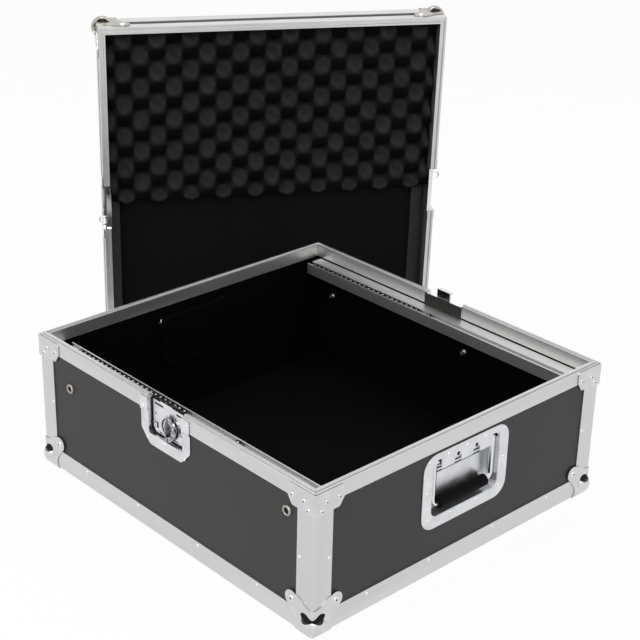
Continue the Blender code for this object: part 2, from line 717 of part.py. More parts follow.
def latch_dish():
    body = pan(-LATCH_LOW, -PAN_LOW, LATCH_CHAMFER_SIDE, LATCH_CHAMFER_RISE, RIM_FLANGE, LATCH_TOP_GAP)
    body = cut(body, rod(AXLE_RADIUS + AXLE_PLAY, "x", -2 * PAN_DEPTH, 0, (0, -AXLE_DROP)))
    inner = ARM_HALF + GAP
    low = -AXLE_DROP - GUIDE_LENGTH / 2
    for side in (-1, 1):
        guide = box((-PAN_DEPTH - LATCH_SKIN / 2, side * inner, low),
                    (-PAN_DEPTH + GAP + ARM_SKIN, side * (inner + GUIDE_WIDTH), low + GUIDE_LENGTH))
        body = fuse(body, guide)
    return body


def latch_handle():
    """Axle, disc with crank pin, and the two folding wings standing up."""
    arm_face = -PAN_DEPTH + GAP + ARM_SKIN
    disc_back = arm_face + GAP
    disc_face = disc_back + DISC_THICKNESS
    body = rod(DISC_RADIUS, "x", disc_back, disc_face, (0, -AXLE_DROP), segments=20)
    axle = rod(AXLE_RADIUS, "x", -LATCH_BACK, disc_face - DISC_THICKNESS / 2, (0, -AXLE_DROP))
    crank = LATCH_THROW / 2
    pin = rod(CRANK_PIN_RADIUS, "x", -PAN_DEPTH + 2 * GAP, disc_face - DISC_THICKNESS / 2,
              (0, -crank - AXLE_DROP))
    wing = rounded([(-WING_LENGTH / 2, 0), (WING_LENGTH / 2, 0), (WING_LENGTH / 2, WING_HEIGHT),
                    (-WING_LENGTH / 2, WING_HEIGHT)], [0, 0, WING_CORNER, WING_CORNER])
    root = disc_face - DISC_THICKNESS / 4
    blade = prism([(root + v, u) for u, v in wing], "y", -WING_THICKNESS / 2, WING_THICKNESS / 2)
    blade.data.transform(Matrix.Translation((0, 0, -AXLE_DROP)))
    return fuse(body, axle, pin, blade)


def latch_arm():
    """The arm with its claw, drawn in, and slotted for the axle and the crank pin."""
    back = -PAN_DEPTH + GAP
    face = back + ARM_SKIN
    reach = face + CLAW_REACH
    claw = ARM_TOP_RISE - CLAW_THICKNESS
    side = [(back, -ARM_FOOT_DROP), (face, -ARM_FOOT_DROP), (face, claw), (reach, claw),
            (reach, ARM_TOP_RISE), (back, ARM_TOP_RISE)]
    body = prism(side, "y", -ARM_HALF, ARM_HALF)
    play = AXLE_RADIUS + AXLE_PLAY
    slot = box((back - SKIN, -play, -AXLE_DROP - play - LATCH_THROW), (face + SKIN, play, -AXLE_DROP + play))
    crank = LATCH_THROW / 2
    yoke_side = crank + CRANK_PIN_RADIUS + AXLE_PLAY
    yoke_rise = CRANK_PIN_RADIUS + YOKE_PLAY
    yoke = box((back - SKIN, -yoke_side, -crank - AXLE_DROP - yoke_rise),
               (face + SKIN, yoke_side, -crank - AXLE_DROP + yoke_rise))
    return cut(body, slot, yoke)


def make_latches():
    """The left latch is drawn in.  The right one is turned half round and has its arm up."""
    dish = latch_dish()
    low_handle = centred(latch_handle(), (0, 0, -AXLE_DROP))
    arm = latch_arm()
    high_handle = bench(low_handle.data.copy())
    high_handle.data.transform(Matrix.Rotation(math.pi, 4, "X"))
    for side, sign, turn, handle, rise in (("right", 1, 0, high_handle, LATCH_THROW),
                                           ("left", -1, 180, low_handle, 0)):
        add_part("latch_dish_" + side, dish, ZINC, (sign * HALF_W, 0, RIM_Z), turn)
        add_part("latch_handle_" + side, handle, ZINC, (sign * HALF_W, 0, AXLE_Z), turn)
        add_part("latch_arm_" + side, arm, ZINC, (sign * HALF_W, 0, RIM_Z + rise), turn)


# Handles, drawn for the back face: y is minus the inset


def tray(half, low, top, corner, depth_from, depth_to, grow):
    """A rounded block that narrows towards its back."""
    outline = rounded([(-half - grow, low - grow), (half + grow, low - grow), (half + grow, top + grow),
                       (-half - grow, top + grow)], corner)
    body = prism(outline, "y", depth_from, depth_to)
    middle = (low + top) / 2
    for vertex in body.data.vertices:
        if abs(vertex.co.y - depth_to) < GAP:
            vertex.co.x *= BAY_TAPER
            vertex.co.z = middle + (vertex.co.z - middle) * BAY_TAPER
    return body


def bay_window():
    """The mouth of the bay, with the hinge plate's three tongues hanging into it from above."""
    notch = KNUCKLE_PITCH - KNUCKLE_WIDTH
    low = rounded([(-BAY_HALF, BAY_TOP), (-BAY_HALF, BAY_LOW), (BAY_HALF, BAY_LOW), (BAY_HALF, BAY_TOP)],
                  [BAY_CORNER / 2, BAY_CORNER, BAY_CORNER, BAY_CORNER / 2])
    tongues = [(HINGE_HALF, BAY_TOP), (HINGE_HALF, HINGE_LOW)]
    for middle in (KNUCKLE_PITCH / 2, -KNUCKLE_PITCH / 2):
        tongues += [(middle + notch / 2, HINGE_LOW), (middle + notch / 2, BAIL_PIVOT_Z),
                    (middle - notch / 2, BAIL_PIVOT_Z), (middle - notch / 2, HINGE_LOW)]
    return low + tongues + [(-HINGE_HALF, HINGE_LOW), (-HINGE_HALF, BAY_TOP)]


def handle_dish():
    face = -PANEL_OUT + GAP + DISH_SKIN
    back = -PANEL_OUT + GAP
    middle = (back + face) / 2
    plate = rounded([(-DISH_HALF, DISH_LOW), (DISH_HALF, DISH_LOW), (DISH_HALF, DISH_TOP),
                     (-DISH_HALF, DISH_TOP)], DISH_CORNER, steps=6)
    body = cut(prism(plate, "y", back, face), prism(bay_window(), "y", back - SKIN, face + SKIN))
    shell = tray(BAY_HALF, BAY_LOW, BAY_TOP, BAY_CORNER, middle, -BAY_DEPTH - DISH_SKIN, DISH_SKIN)
    hollow = tray(BAY_HALF, BAY_LOW, BAY_TOP, BAY_CORNER, face + SKIN, -BAY_DEPTH, 0)
    body = fuse(body, cut(shell, hollow))
    knuckle = BAIL_RADIUS + KNUCKLE_PLAY + KNUCKLE_SKIN
    for index in (-1, 0, 1):
        low = index * KNUCKLE_PITCH - KNUCKLE_WIDTH / 2
        high = low + KNUCKLE_WIDTH
        eye = rod(knuckle, "x", low, high, (-BAIL_INSET, BAIL_PIVOT_Z))
        web = box((low, -BAIL_INSET, BAIL_PIVOT_Z - knuckle / 2), (high, middle, BAIL_PIVOT_Z + knuckle / 2))
        body = fuse(body, fuse(eye, web))
    bore = rod(BAIL_RADIUS + KNUCKLE_PLAY, "x", -BAY_HALF, BAY_HALF, (-BAIL_INSET, BAIL_PIVOT_Z))
    return cut(body, bore)


def handle_bail():
    """The bail's closed loop, with its hinge bar on the X axis."""
    loop = rounded([(-BAIL_HALF, 0), (BAIL_HALF, 0), (BAIL_HALF, -BAIL_DROP), (-BAIL_HALF, -BAIL_DROP)],
                   [BAIL_RADIUS, BAIL_RADIUS, BAIL_BEND, BAIL_BEND])
    return wire([(x, 0, z) for x, z in loop], BAIL_RADIUS, closed=True)


def handle_grip():
    """The rubber sleeve on the bail's lower bar."""
    body = rod(GRIP_RADIUS, "x", -GRIP_HALF, GRIP_HALF, (0, -BAIL_DROP), segments=16)
    bore = rod(BAIL_RADIUS + GRIP_PLAY, "x", -2 * GRIP_HALF, 2 * GRIP_HALF, (0, -BAIL_DROP))
    return cut(body, bore)


def make_handles():
    dish, bail, grip = handle_dish(), handle_bail(), handle_grip()
    for side, sign, turn in (("back", 1, 0), ("front", -1, 180)):
        pivot = (0, sign * (HALF_D - BAIL_INSET), BAIL_PIVOT_Z)
        add_part("handle_dish_" + side, dish, ZINC, (0, sign * HALF_D, 0), turn)
        add_part("handle_bail_" + side, bail, ZINC, pivot, turn)
        add_part("handle_grip_" + side, grip, RUBBER, pivot, turn)


# The lid in its own frame: its mouth at z = 0, its flat top at z = LID_HEIGHT


def lid_strike():
    """A recessed plate on the lid's right-hand side: a lip for the claw and a wire loop."""
    body = pan(-STRIKE_LOW, -STRIKE_PAN_LOW, STRIKE_CHAMFER, STRIKE_CHAMFER, LID_FLANGE, LATCH_TOP_GAP / 2)
    lip = box((-PAN_DEPTH - LATCH_SKIN / 2, -PAN_HALF - LATCH_SKIN / 2, -STRIKE_LIP),
              (-PAN_DEPTH + STRIKE_LIP, PAN_HALF + LATCH_SKIN / 2, -STRIKE_LIP + STRIKE_LIP_SKIN))
    start = -PAN_DEPTH - LATCH_SKIN / 2
    arc = [(start, LOOP_OFFSET - LOOP_RADIUS, -LOOP_HEIGHT)]
    for step in range(9):
        turn = math.pi * step / 8
        arc.append((LOOP_REACH - LOOP_RADIUS + LOOP_RADIUS * math.sin(turn),
                    LOOP_OFFSET - LOOP_RADIUS * math.cos(turn), -LOOP_HEIGHT))
    arc.append((start, LOOP_OFFSET + LOOP_RADIUS, -LOOP_HEIGHT))
    body = fuse(body, lip, wire(arc, LOOP_WIRE))
    body.data.transform(Matrix.Rotation(math.pi, 4, "X"))
    return body


def lid_foam(half_x, low_y, high_y, back_z):
    """Egg-crate foam: a flat back and a waved face."""
    across = round(2 * half_x / FOAM_STEP)
    along = round((high_y - low_y) / FOAM_STEP)
    bm = bmesh.new()
    bmesh.ops.create_grid(bm, x_segments=across, y_segments=along, size=0.5)
    flat = list(bm.faces)
    front = bmesh.ops.extrude_face_region(bm, geom=flat, use_keep_orig=True)
    waved = {item for item in front["geom"] if isinstance(item, bmesh.types.BMVert)}
    bmesh.ops.dissolve_faces(bm, faces=flat)
    middle_y = (low_y + high_y) / 2
    wave = 2 * math.pi / FOAM_PITCH
    for vertex in bm.verts:
        x = vertex.co.x * 2 * half_x
        y = middle_y + vertex.co.y * (high_y - low_y)
        z = back_z
        if vertex in waved:
            z -= FOAM_BASE + FOAM_WAVE + FOAM_WAVE * math.cos(wave * x) * math.cos(wave * (y - high_y))
        vertex.co = (x, y, z)
    bmesh.ops.recalc_face_normals(bm, faces=bm.faces)
    mesh = bpy.data.meshes.new("foam")
    bm.to_mesh(mesh)
    bm.free()
    return bench(mesh)


def make_lid(corner_piece):
    """The lid's pieces, each drawn in the lid's frame and hung on one empty."""
    stand = bpy.data.objects.new("lid_placement", None)
    case.objects.link(stand)

    top = LID_HEIGHT - SKIN - GAP
    inner_x = HALF_W - PANEL_IN - GAP
    inner_y = HALF_D - PANEL_IN - GAP
    pieces = {"lid_panel": (box((-inner_x, -inner_y, top - PANEL), (inner_x, inner_y, top)), LAMINATE)}

    mouth = RIM_WEB + GAP
    section = [(PANEL_OUT, mouth), (PANEL_IN, mouth), (PANEL_IN, top), (PANEL_OUT, top)]
    boards = frame_of(section, HALF_W, HALF_D)
    pocket = STRIKE_PAN_LOW + LATCH_SKIN + GAP
    pockets = [box((0, -CUT_HALF, 0), (sign * WIDTH, CUT_HALF, pocket)) for sign in (-1, 1)]
    pieces["lid_boards"] = (cut(boards, *pockets, *corner_reliefs(LID_HEIGHT, 1)), LAMINATE)

    flipped = [(inset, -z) for inset, z in rim_section(0, LID_FLANGE, RIM_INNER_FLANGE, -TONGUE - GAP)]
    for name, sign in (("upper", 1), ("lower", -1)):
        half_frame = cut(frame_of(flipped, HALF_W, HALF_D),
                         box((-WIDTH, -sign * DEPTH, -LID_HEIGHT), (WIDTH, sign * CUT_HALF, LID_HEIGHT)))
        pieces["lid_rim_" + name] = (half_frame, ALUMINIUM)

    edging = [(inset, LID_HEIGHT - (z - UNDERSIDE)) for inset, z in angle_section(UNDERSIDE, LID_LEG, LEG)]
    plan = rounded([(-HALF_W, -HALF_D), (HALF_W, -HALF_D), (HALF_W, HALF_D), (-HALF_W, HALF_D)], ARRIS + GAP)
    edges = keep(frame_of(edging, HALF_W, HALF_D), prism(plan, "z", 0, 2 * LID_HEIGHT))
    pieces["lid_edging"] = (cut(edges, *corner_reliefs(LID_HEIGHT, 1)), ALUMINIUM)

    back_z = top - PANEL - GAP
    soft_x = HALF_W - max(RIM_THICKNESS, LATCH_BACK) - GAP
    soft_y = HALF_D - RIM_THICKNESS - GAP
    border = soft_y - 2 * soft_y * FOAM_SHARE
    pieces["lid_foam"] = (lid_foam(soft_x, border + GAP, soft_y, back_z), FOAM)
    pieces["lid_lining"] = (box((-soft_x + LINING_INSET, -soft_y, back_z - LINING),
                                (soft_x - LINING_INSET, border - GAP, back_z)), FOAM)

    for name, (body, material) in pieces.items():
        add_part(name, body, material, parent=stand)
    strike = lid_strike()
    add_part("lid_strike_right", strike, ZINC, (HALF_W, 0, 0), 0, stand)
    add_part("lid_strike_left", strike, ZINC, (-HALF_W, 0, 0), 180, stand)

    # A base corner turned over: its -Z face becomes the lid's flat top
    for corner, (sx, sy, turn) in CORNERS.items():
        place = Matrix.Translation((sx * HALF_W, sy * HALF_D, LID_HEIGHT))
        spin = Matrix.Rotation(math.radians(turn + 90), 4, "Z") @ Matrix.Rotation(math.pi, 4, "X")
        add_part("lid_ball_corner_" + corner, corner_piece, ZINC, parent=stand, frame=place @ spin)
    stand_lid(stand)


def stand_lid(stand):
    """Turn the lid up on its -Y edge beside the far corner and set it down on the floor."""
    along = Vector((math.cos(LID_TURN), math.sin(LID_TURN), 0))
    mouth = Vector((math.sin(LID_TURN), -math.cos(LID_TURN), 0))
    up = Vector((0, 0, 1)) * math.cos(LID_LEAN) + mouth * math.sin(LID_LEAN)
    facing = (-along).cross(up)
    turn = Matrix((-along, up, facing)).transposed().to_4x4()
    foot = Vector((HALF_W, HALF_D, 0)) - mouth * LID_BACK + along * LID_ALONG
    middle = turn @ Vector((0, HALF_D, 0))
    stand.matrix_world = Matrix.Translation(foot + middle) @ turn
    bpy.context.view_layer.update()
    heights = [(piece.matrix_world @ vertex.co).z
               for piece in stand.children for vertex in piece.data.vertices]
    stand.location.z += FLOOR_LINE - min(heights)


make_panels()
make_edges()
corner_piece = make_corners()
make_rails()
make_latches()
make_handles()
make_lid(corner_piece)
for leftover in list(workbench.objects):
    bpy.data.objects.remove(leftover)
bpy.data.collections.remove(workbench)
bpy.context.view_layer.update()
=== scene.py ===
"""Looks of the rack case: materials, fine pieces, floor, light and camera."""

import math

import bmesh
import bpy
from mathutils import Matrix, Vector, noise


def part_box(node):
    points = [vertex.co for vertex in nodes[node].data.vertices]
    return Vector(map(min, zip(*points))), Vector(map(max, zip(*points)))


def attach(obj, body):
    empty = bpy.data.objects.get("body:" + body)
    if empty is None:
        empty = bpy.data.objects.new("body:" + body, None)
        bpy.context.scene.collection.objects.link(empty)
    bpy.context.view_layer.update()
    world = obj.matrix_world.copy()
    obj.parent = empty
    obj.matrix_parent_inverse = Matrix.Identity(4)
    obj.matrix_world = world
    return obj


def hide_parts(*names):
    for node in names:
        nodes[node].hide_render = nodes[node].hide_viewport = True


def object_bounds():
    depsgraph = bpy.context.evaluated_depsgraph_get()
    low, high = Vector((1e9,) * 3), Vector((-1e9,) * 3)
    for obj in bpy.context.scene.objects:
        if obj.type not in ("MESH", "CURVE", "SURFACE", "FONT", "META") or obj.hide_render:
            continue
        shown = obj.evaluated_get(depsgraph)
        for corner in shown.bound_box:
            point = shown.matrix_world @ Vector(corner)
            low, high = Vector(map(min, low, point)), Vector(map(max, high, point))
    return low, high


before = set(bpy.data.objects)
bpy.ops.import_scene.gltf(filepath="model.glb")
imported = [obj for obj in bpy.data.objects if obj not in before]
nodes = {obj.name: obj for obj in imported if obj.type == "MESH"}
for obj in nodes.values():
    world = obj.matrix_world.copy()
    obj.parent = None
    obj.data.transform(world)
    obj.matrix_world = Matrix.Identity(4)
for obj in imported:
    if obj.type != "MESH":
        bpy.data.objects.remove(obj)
cad_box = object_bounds()

# Sizes of the case that the fine pieces follow, in metres
HALF_W = -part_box("base_angle_left")[0].x
HALF_D = -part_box("base_angle_front")[0].y
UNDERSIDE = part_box("base_angle_front")[0].z
FLOOR_LINE = cad_box[0].z
RIM_Z = 0.2034
PANEL = 0.0067
PANEL_FACE = 0.0018  # from the aluminium's face to a panel's face
PANEL_MIDDLE = 0.005  # from the aluminium's face to the middle of a wall
SHEET = 0.0015  # sheet steel of the fittings
RAIL_TOP = 0.1834
RAIL_HALF = 0.26675
HANDLE_MIDDLE_Z = 0.1275
LID_HEIGHT = 0.0513
LID_TURN = math.radians(-30.27)
LID_LEAN = math.radians(2.5)
CORNERS = {"left_front": (-1, -1, 180), "right_front": (1, -1, 270),
           "right_back": (1, 1, 0), "left_back": (-1, 1, 90)}
SIDES = (("left", -1), ("right", 1))


# Materials


def put(tree, kind, **inputs):
    """A node with some of its inputs set or linked."""
    node = tree.nodes.new(kind)
    for name, value in inputs.items():
        socket = node.inputs[name.replace("_", " ")]
        if isinstance(value, bpy.types.NodeSocket):
            tree.links.new(value, socket)
        else:
            socket.default_value = value
    return node


def noise_at(tree, place, scale, detail=4.0):
    """Noise of a scale that is one number, or one for each axis."""
    scale = scale if isinstance(scale, list) else [scale] * 3
    stretch = put(tree, "ShaderNodeMapping", Vector=place, Scale=scale)
    return put(tree, "ShaderNodeTexNoise", Vector=stretch.outputs[0], Scale=1.0, Detail=detail,
               Roughness=0.6).outputs["Fac"]


def spread(tree, value, low, high, start=0.3, end=0.7):
    """Map a value from start..end to low..high."""
    node = put(tree, "ShaderNodeMapRange", Value=value)
    node.inputs["From Min"].default_value = start
    node.inputs["From Max"].default_value = end
    node.inputs["To Min"].default_value = low
    node.inputs["To Max"].default_value = high
    return node.outputs["Result"]


def between(tree, factor, first, second):
    """Mix two colours."""
    node = tree.nodes.new("ShaderNodeMix")
    node.data_type = "RGBA"
    inputs = ((node.inputs[0], factor), (node.inputs[6], first), (node.inputs[7], second))
    for socket, value in inputs:
        if isinstance(value, bpy.types.NodeSocket):
            tree.links.new(value, socket)
        else:
            socket.default_value = (*value, 1) if isinstance(value, tuple) else value
    return node.outputs[2]


def calc(tree, operation, *values):
    """One step of arithmetic on numbers or sockets."""
    node = tree.nodes.new("ShaderNodeMath")
    node.operation = operation
    for socket, value in zip(node.inputs, values):
        if isinstance(value, bpy.types.NodeSocket):
            tree.links.new(value, socket)
        else:
            socket.default_value = value
    return node.outputs[0]


def surface(name, tones, roughness, metallic, patches, grain, depth, strength=0.5, **fixed):
    """Two tones and two roughnesses mixed by soft patches, with a fine grain that stands up by depth."""
    material = bpy.data.materials.new(name)
    material.use_nodes = True
    tree = material.node_tree
    shader = tree.nodes["Principled BSDF"]
    place = tree.nodes.new("ShaderNodeTexCoord").outputs["Object"]
    soft = noise_at(tree, place, patches)
    fine = noise_at(tree, place, grain, 6.0)
    tree.links.new(between(tree, spread(tree, soft, 0, 1), *tones), shader.inputs["Base Color"])
    mixed = calc(tree, "ADD", spread(tree, soft, 0, 0.5), spread(tree, fine, 0, 0.5))
    tree.links.new(spread(tree, mixed, *roughness, 0, 1), shader.inputs["Roughness"])
    bump = put(tree, "ShaderNodeBump", Height=fine, Strength=strength, Distance=depth)
    tree.links.new(bump.outputs["Normal"], shader.inputs["Normal"])
    shader.inputs["Metallic"].default_value = metallic
    for socket, value in fixed.items():
        shader.inputs[socket.replace("_", " ")].default_value = value
    return material


DULL_ROUGHNESS = 0.9
DULL_SPECULAR = 0.04


def darken(material, mask_of, tone=(0.0016, 0.0016, 0.0019)):
    """Turn part of a surface dull and dark.  mask_of gives 1 there, from the place and the normal."""
    tree = material.node_tree
    shader = tree.nodes["Principled BSDF"]
    here = tree.nodes.new("ShaderNodeTexCoord")
    place = put(tree, "ShaderNodeSeparateXYZ", Vector=here.outputs["Object"]).outputs
    facing = put(tree, "ShaderNodeSeparateXYZ", Vector=here.outputs["Normal"]).outputs
    mask = mask_of(tree, place, facing)
    before = shader.inputs["Base Color"].links[0].from_socket
    tree.links.new(between(tree, mask, before, tone), shader.inputs["Base Color"])
    specular = shader.inputs["Specular IOR Level"]
    tree.links.new(spread(tree, mask, specular.default_value, DULL_SPECULAR, 0, 1), specular)
    metal = shader.inputs["Metallic"]
    tree.links.new(spread(tree, mask, metal.default_value, 0.0, 0, 1), metal)
    rough = shader.inputs["Roughness"]
    dull = spread(tree, mask, 0.0, DULL_ROUGHNESS, 0, 1)
    tree.links.new(calc(tree, "MAXIMUM", rough.links[0].from_socket, dull), rough)
    return material


def painted_inner_shade(axis, half):
    """Painted shade on the side of a wall that faces the case's inside."""
    def mask(tree, place, facing):
        return calc(tree, "LESS_THAN", calc(tree, "ABSOLUTE", place[axis]), half - PANEL_MIDDLE)
    return mask


RAIL_FLANGE_X = 0.2530
RAIL_THICK = 0.003


def rail_flange(tree, place, facing):
    """The rail's bolting flange, without the bolt ends that stand on it."""
    across = calc(tree, "ABSOLUTE", place[0])
    near = calc(tree, "LESS_THAN", across, HALF_W - PANEL_MIDDLE)
    flange = calc(tree, "MULTIPLY", calc(tree, "GREATER_THAN", across, RAIL_FLANGE_X), near)
    return calc(tree, "MULTIPLY", flange, calc(tree, "LESS_THAN", place[2], RAIL_TOP - RAIL_THICK))


PAN_DEPTH = 0.0073


def pan_back(tree, place, facing):
    """The latch pan's floor and back, which see little light."""
    return calc(tree, "LESS_THAN", calc(tree, "ABSOLUTE", place[0]), HALF_W - PAN_DEPTH)


# Depths from the case's face: the first lies behind the hinge plate, the second behind the flange
BAY_DEPTH = 0.0083
FLANGE_DEPTH = 0.0035
# Place times normal, seen from the handle's middle.  A face looks away from it above OUTER_FACE, is
# the bay's own side above OUTER_SIDE, and looks into the case below INWARD_FACE
OUTER_FACE = 0.004
OUTER_SIDE = 0.0405
INWARD_FACE = -0.14
INWARD_WEIGHT = -0.1


def bay_outside(tree, place, facing):
    """The outside of the handle's bay, which stands into the case, and the back of its flange."""
    depth = calc(tree, "SUBTRACT", HALF_D, calc(tree, "ABSOLUTE", place[1]))
    outwards = calc(tree, "MULTIPLY", place[1], facing[1])
    up = calc(tree, "SUBTRACT", place[2], HANDLE_MIDDLE_Z)
    away = calc(tree, "ADD", calc(tree, "MULTIPLY", place[0], facing[0]),
                calc(tree, "MULTIPLY", up, facing[2]))
    outer = calc(tree, "ADD", away, calc(tree, "MULTIPLY", outwards, INWARD_WEIGHT))
    deep = calc(tree, "MULTIPLY", calc(tree, "GREATER_THAN", depth, BAY_DEPTH),
                calc(tree, "GREATER_THAN", outer, OUTER_FACE))
    side = calc(tree, "MULTIPLY", calc(tree, "GREATER_THAN", depth, FLANGE_DEPTH),
                calc(tree, "GREATER_THAN", away, OUTER_SIDE))
    back = calc(tree, "LESS_THAN", outwards, INWARD_FACE)
    return calc(tree, "MAXIMUM", deep, calc(tree, "MAXIMUM", side, back))


def stretched(axis, along, across):
    return [along if name == axis else across for name in "xyz"]


def laminate(name):
    return surface(name, tones=((0.026, 0.0245, 0.0245), (0.034, 0.0315, 0.0315)),
                   roughness=(0.44, 0.58), metallic=0.0, patches=14, grain=900, depth=0.00008,
                   strength=0.6, Specular_IOR_Level=0.35)


def aluminium(axis, name="satin_aluminium_"):
    return surface(name + axis, tones=((0.60, 0.60, 0.595), (0.66, 0.66, 0.655)),
                   roughness=(0.34, 0.46), metallic=1.0, patches=stretched(axis, 3, 40),
                   grain=stretched(axis, 12, 1500), depth=0.00003, strength=0.35)


def steel(name, tones, roughness, patches=60, grain=700):
    return surface(name, tones, roughness, metallic=1.0, patches=patches, grain=grain,
                   depth=0.00005, strength=0.3)


def rough_metal(name, tones, roughness, patches, grain, strength):
    return surface(name, tones, roughness, metallic=1.0, patches=patches, grain=grain,
                   depth=0.0001, strength=strength)


PLATED = ((0.62, 0.63, 0.65), (0.78, 0.79, 0.81))

ALUMINIUM = {axis: aluminium(axis) for axis in "xyz"}
LAMINATE = laminate("laminate")
# The walls' inner sides get painted shade: the same laminate, near-black and dull inside the case
LAMINATE_X = darken(laminate("laminate_latch_wall_painted_shade"), painted_inner_shade(0, HALF_W))
LAMINATE_Y = darken(laminate("laminate_handle_wall_painted_shade"), painted_inner_shade(1, HALF_D))
RAIL = darken(aluminium("y", "rail_aluminium_"), rail_flange)
# Painted shade: the floor panel is the walls' laminate, coloured nearly black for the dark inside of the
# case
FLOOR_BOARD_PAINTED_SHADE = surface("floor_board_painted_shade", tones=((0.0014, 0.0014, 0.0018), (0.0022, 0.0022, 0.0027)),
                      roughness=(0.75, 0.9), metallic=0.0, patches=9, grain=400, depth=0.0001,
                      Specular_IOR_Level=0.05)
ZINC = steel("bright_zinc", ((0.70, 0.71, 0.73), (0.78, 0.79, 0.81)), (0.10, 0.20), 45, 500)
DISH = darken(steel("dish_zinc", PLATED, (0.30, 0.44), 45, 500), bay_outside)
PAN = darken(steel("latch_pan_zinc", PLATED, (0.22, 0.34), 45, 500), pan_back, (0.036, 0.037, 0.034))
# Painted reflections and shade: black and bright patches in the chrome's colour stand for the room it
# mirrors
CHROME_PAINTED_REFLECTIONS = rough_metal("latch_chrome_painted_reflections", ((0.010, 0.010, 0.012), (0.66, 0.66, 0.68)), (0.08, 0.16),
                     patches=260, grain=600, strength=0.4)
CORNER_STEEL = steel("corner_steel", ((0.60, 0.60, 0.61), (0.68, 0.68, 0.69)), (0.26, 0.36))
# Painted reflection: the base's corner steel, darker and brownish for the wooden room that the lid's
# corners mirror
LID_STEEL_PAINTED_REFLECTION = steel("lid_corner_steel_painted_reflection", ((0.40, 0.385, 0.35), (0.52, 0.50, 0.45)), (0.16, 0.26))
NUTS = rough_metal("dark_nuts", ((0.13, 0.11, 0.085), (0.44, 0.40, 0.34)), (0.30, 0.50),
                   patches=160, grain=900, strength=0.5)
RUBBER = surface("grip_rubber", tones=((0.003, 0.003, 0.0035), (0.006, 0.006, 0.007)),
                 roughness=(0.60, 0.75), metallic=0.0, patches=80, grain=1200, depth=0.00008,
                 Specular_IOR_Level=0.06)
FOAM = surface("black_foam", tones=((0.017, 0.018, 0.020), (0.029, 0.030, 0.034)),
               roughness=(0.92, 1.0), metallic=0.0, patches=60, grain=1400, depth=0.0006,
               strength=0.9, Specular_IOR_Level=0.10)
CORE = rough_metal("nut_thread", ((0.30, 0.28, 0.24), (0.55, 0.52, 0.46)), (0.30, 0.50),
                   patches=160, grain=900, strength=0.5)
# Painted shade: a near-black for hollows, gaps, notches and outlines where shade falls
PAINTED_SHADE = surface("painted_shade_black", tones=((0.0025, 0.0020, 0.0035), (0.0060, 0.0045, 0.0080)),
                 roughness=(0.5, 0.8), metallic=0.0, patches=200, grain=900, depth=0.0001,
                 Specular_IOR_Level=0.15)
LINING = surface("black_lining", tones=((0.0020, 0.0020, 0.0024), (0.0040, 0.0040, 0.0046)),
                 roughness=(0.80, 0.95), metallic=0.0, patches=25, grain=1100, depth=0.0003,
                 strength=0.7, Specular_IOR_Level=0.12)


def paint_shade_downwards(material, start=-0.25, end=0.35, tone=(0.0015, 0.0015, 0.0018)):
    """Painted shade on the undersides of the foam's bumps: dark where the normal's z is below start."""
    tree = material.node_tree
    shader = tree.nodes["Principled BSDF"]
    normal = tree.nodes.new("ShaderNodeTexCoord").outputs["Normal"]
    facing = put(tree, "ShaderNodeSeparateXYZ", Vector=normal)
    lit = spread(tree, facing.outputs[2], 0, 1, start, end)
    before = shader.inputs["Base Color"].links[0].from_socket
    tree.links.new(between(tree, lit, tone, before), shader.inputs["Base Color"])


# painted shade under the foam's bumps
paint_shade_downwards(FOAM)


def dress(material, *names):
    """Give CAD nodes their material."""
    for name in names:
        node = nodes[name]
        node.data.materials.clear()
        node.data.materials.append(material)


dress(LAMINATE, "lid_panel", "lid_boards")
dress(LAMINATE_X, "latch_wall_left", "latch_wall_right")
dress(LAMINATE_Y, "handle_wall_front", "handle_wall_back")
dress(FLOOR_BOARD_PAINTED_SHADE, "floor_panel")
dress(ALUMINIUM["x"], "rim_front", "rim_back", "base_angle_front", "base_angle_back",
      "lid_rim_upper", "lid_rim_lower", "lid_edging")
dress(ALUMINIUM["y"], "rim_left_front", "rim_left_back", "rim_right_front", "rim_right_back",
      "base_angle_left", "base_angle_right")
dress(RAIL, "rack_rail_left", "rack_rail_right")
dress(DISH, "handle_dish_front", "handle_dish_back")
dress(ALUMINIUM["z"], *("upright_angle_" + corner for corner in CORNERS))
for family in ("ball_corner_", "lid_ball_corner_", "rim_brace_"):
    dress(CORNER_STEEL, *(family + corner for corner in CORNERS))
zinc_families = ("latch_arm", "handle_bail", "lid_strike")
dress(ZINC, *(name for name in nodes if name.startswith(zinc_families)))
dress(PAN, "latch_dish_left", "latch_dish_right")
dress(CHROME_PAINTED_REFLECTIONS, "latch_handle_left", "latch_handle_right")
dress(NUTS, "nut_row_left", "nut_row_right", "loose_nut_left", "loose_nut_right")
dress(RUBBER, "handle_grip_front", "handle_grip_back")


# Building blocks


def piece(name, bm, material, body, bevel=0.0, angle=35):
    """Turn a mesh under construction into a finished piece that moves with a body."""
    mesh = bpy.data.meshes.new(name)
    bm.to_mesh(mesh)
    bm.free()
    mesh.materials.append(material)
    mesh.shade_smooth()
    mesh.set_sharp_from_angle(angle=math.radians(angle))
    made = bpy.data.objects.new(name, mesh)
    bpy.context.scene.collection.objects.link(made)
    if bevel:
        soften = made.modifiers.new("edges", "BEVEL")
        soften.width = bevel
        soften.segments = 2
        soften.limit_method = "ANGLE"
    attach(made, body)
    return made


def move(bm, matrix):
    """Set a mesh under construction in its place."""
    bmesh.ops.transform(bm, matrix=matrix, verts=bm.verts)
    return bm


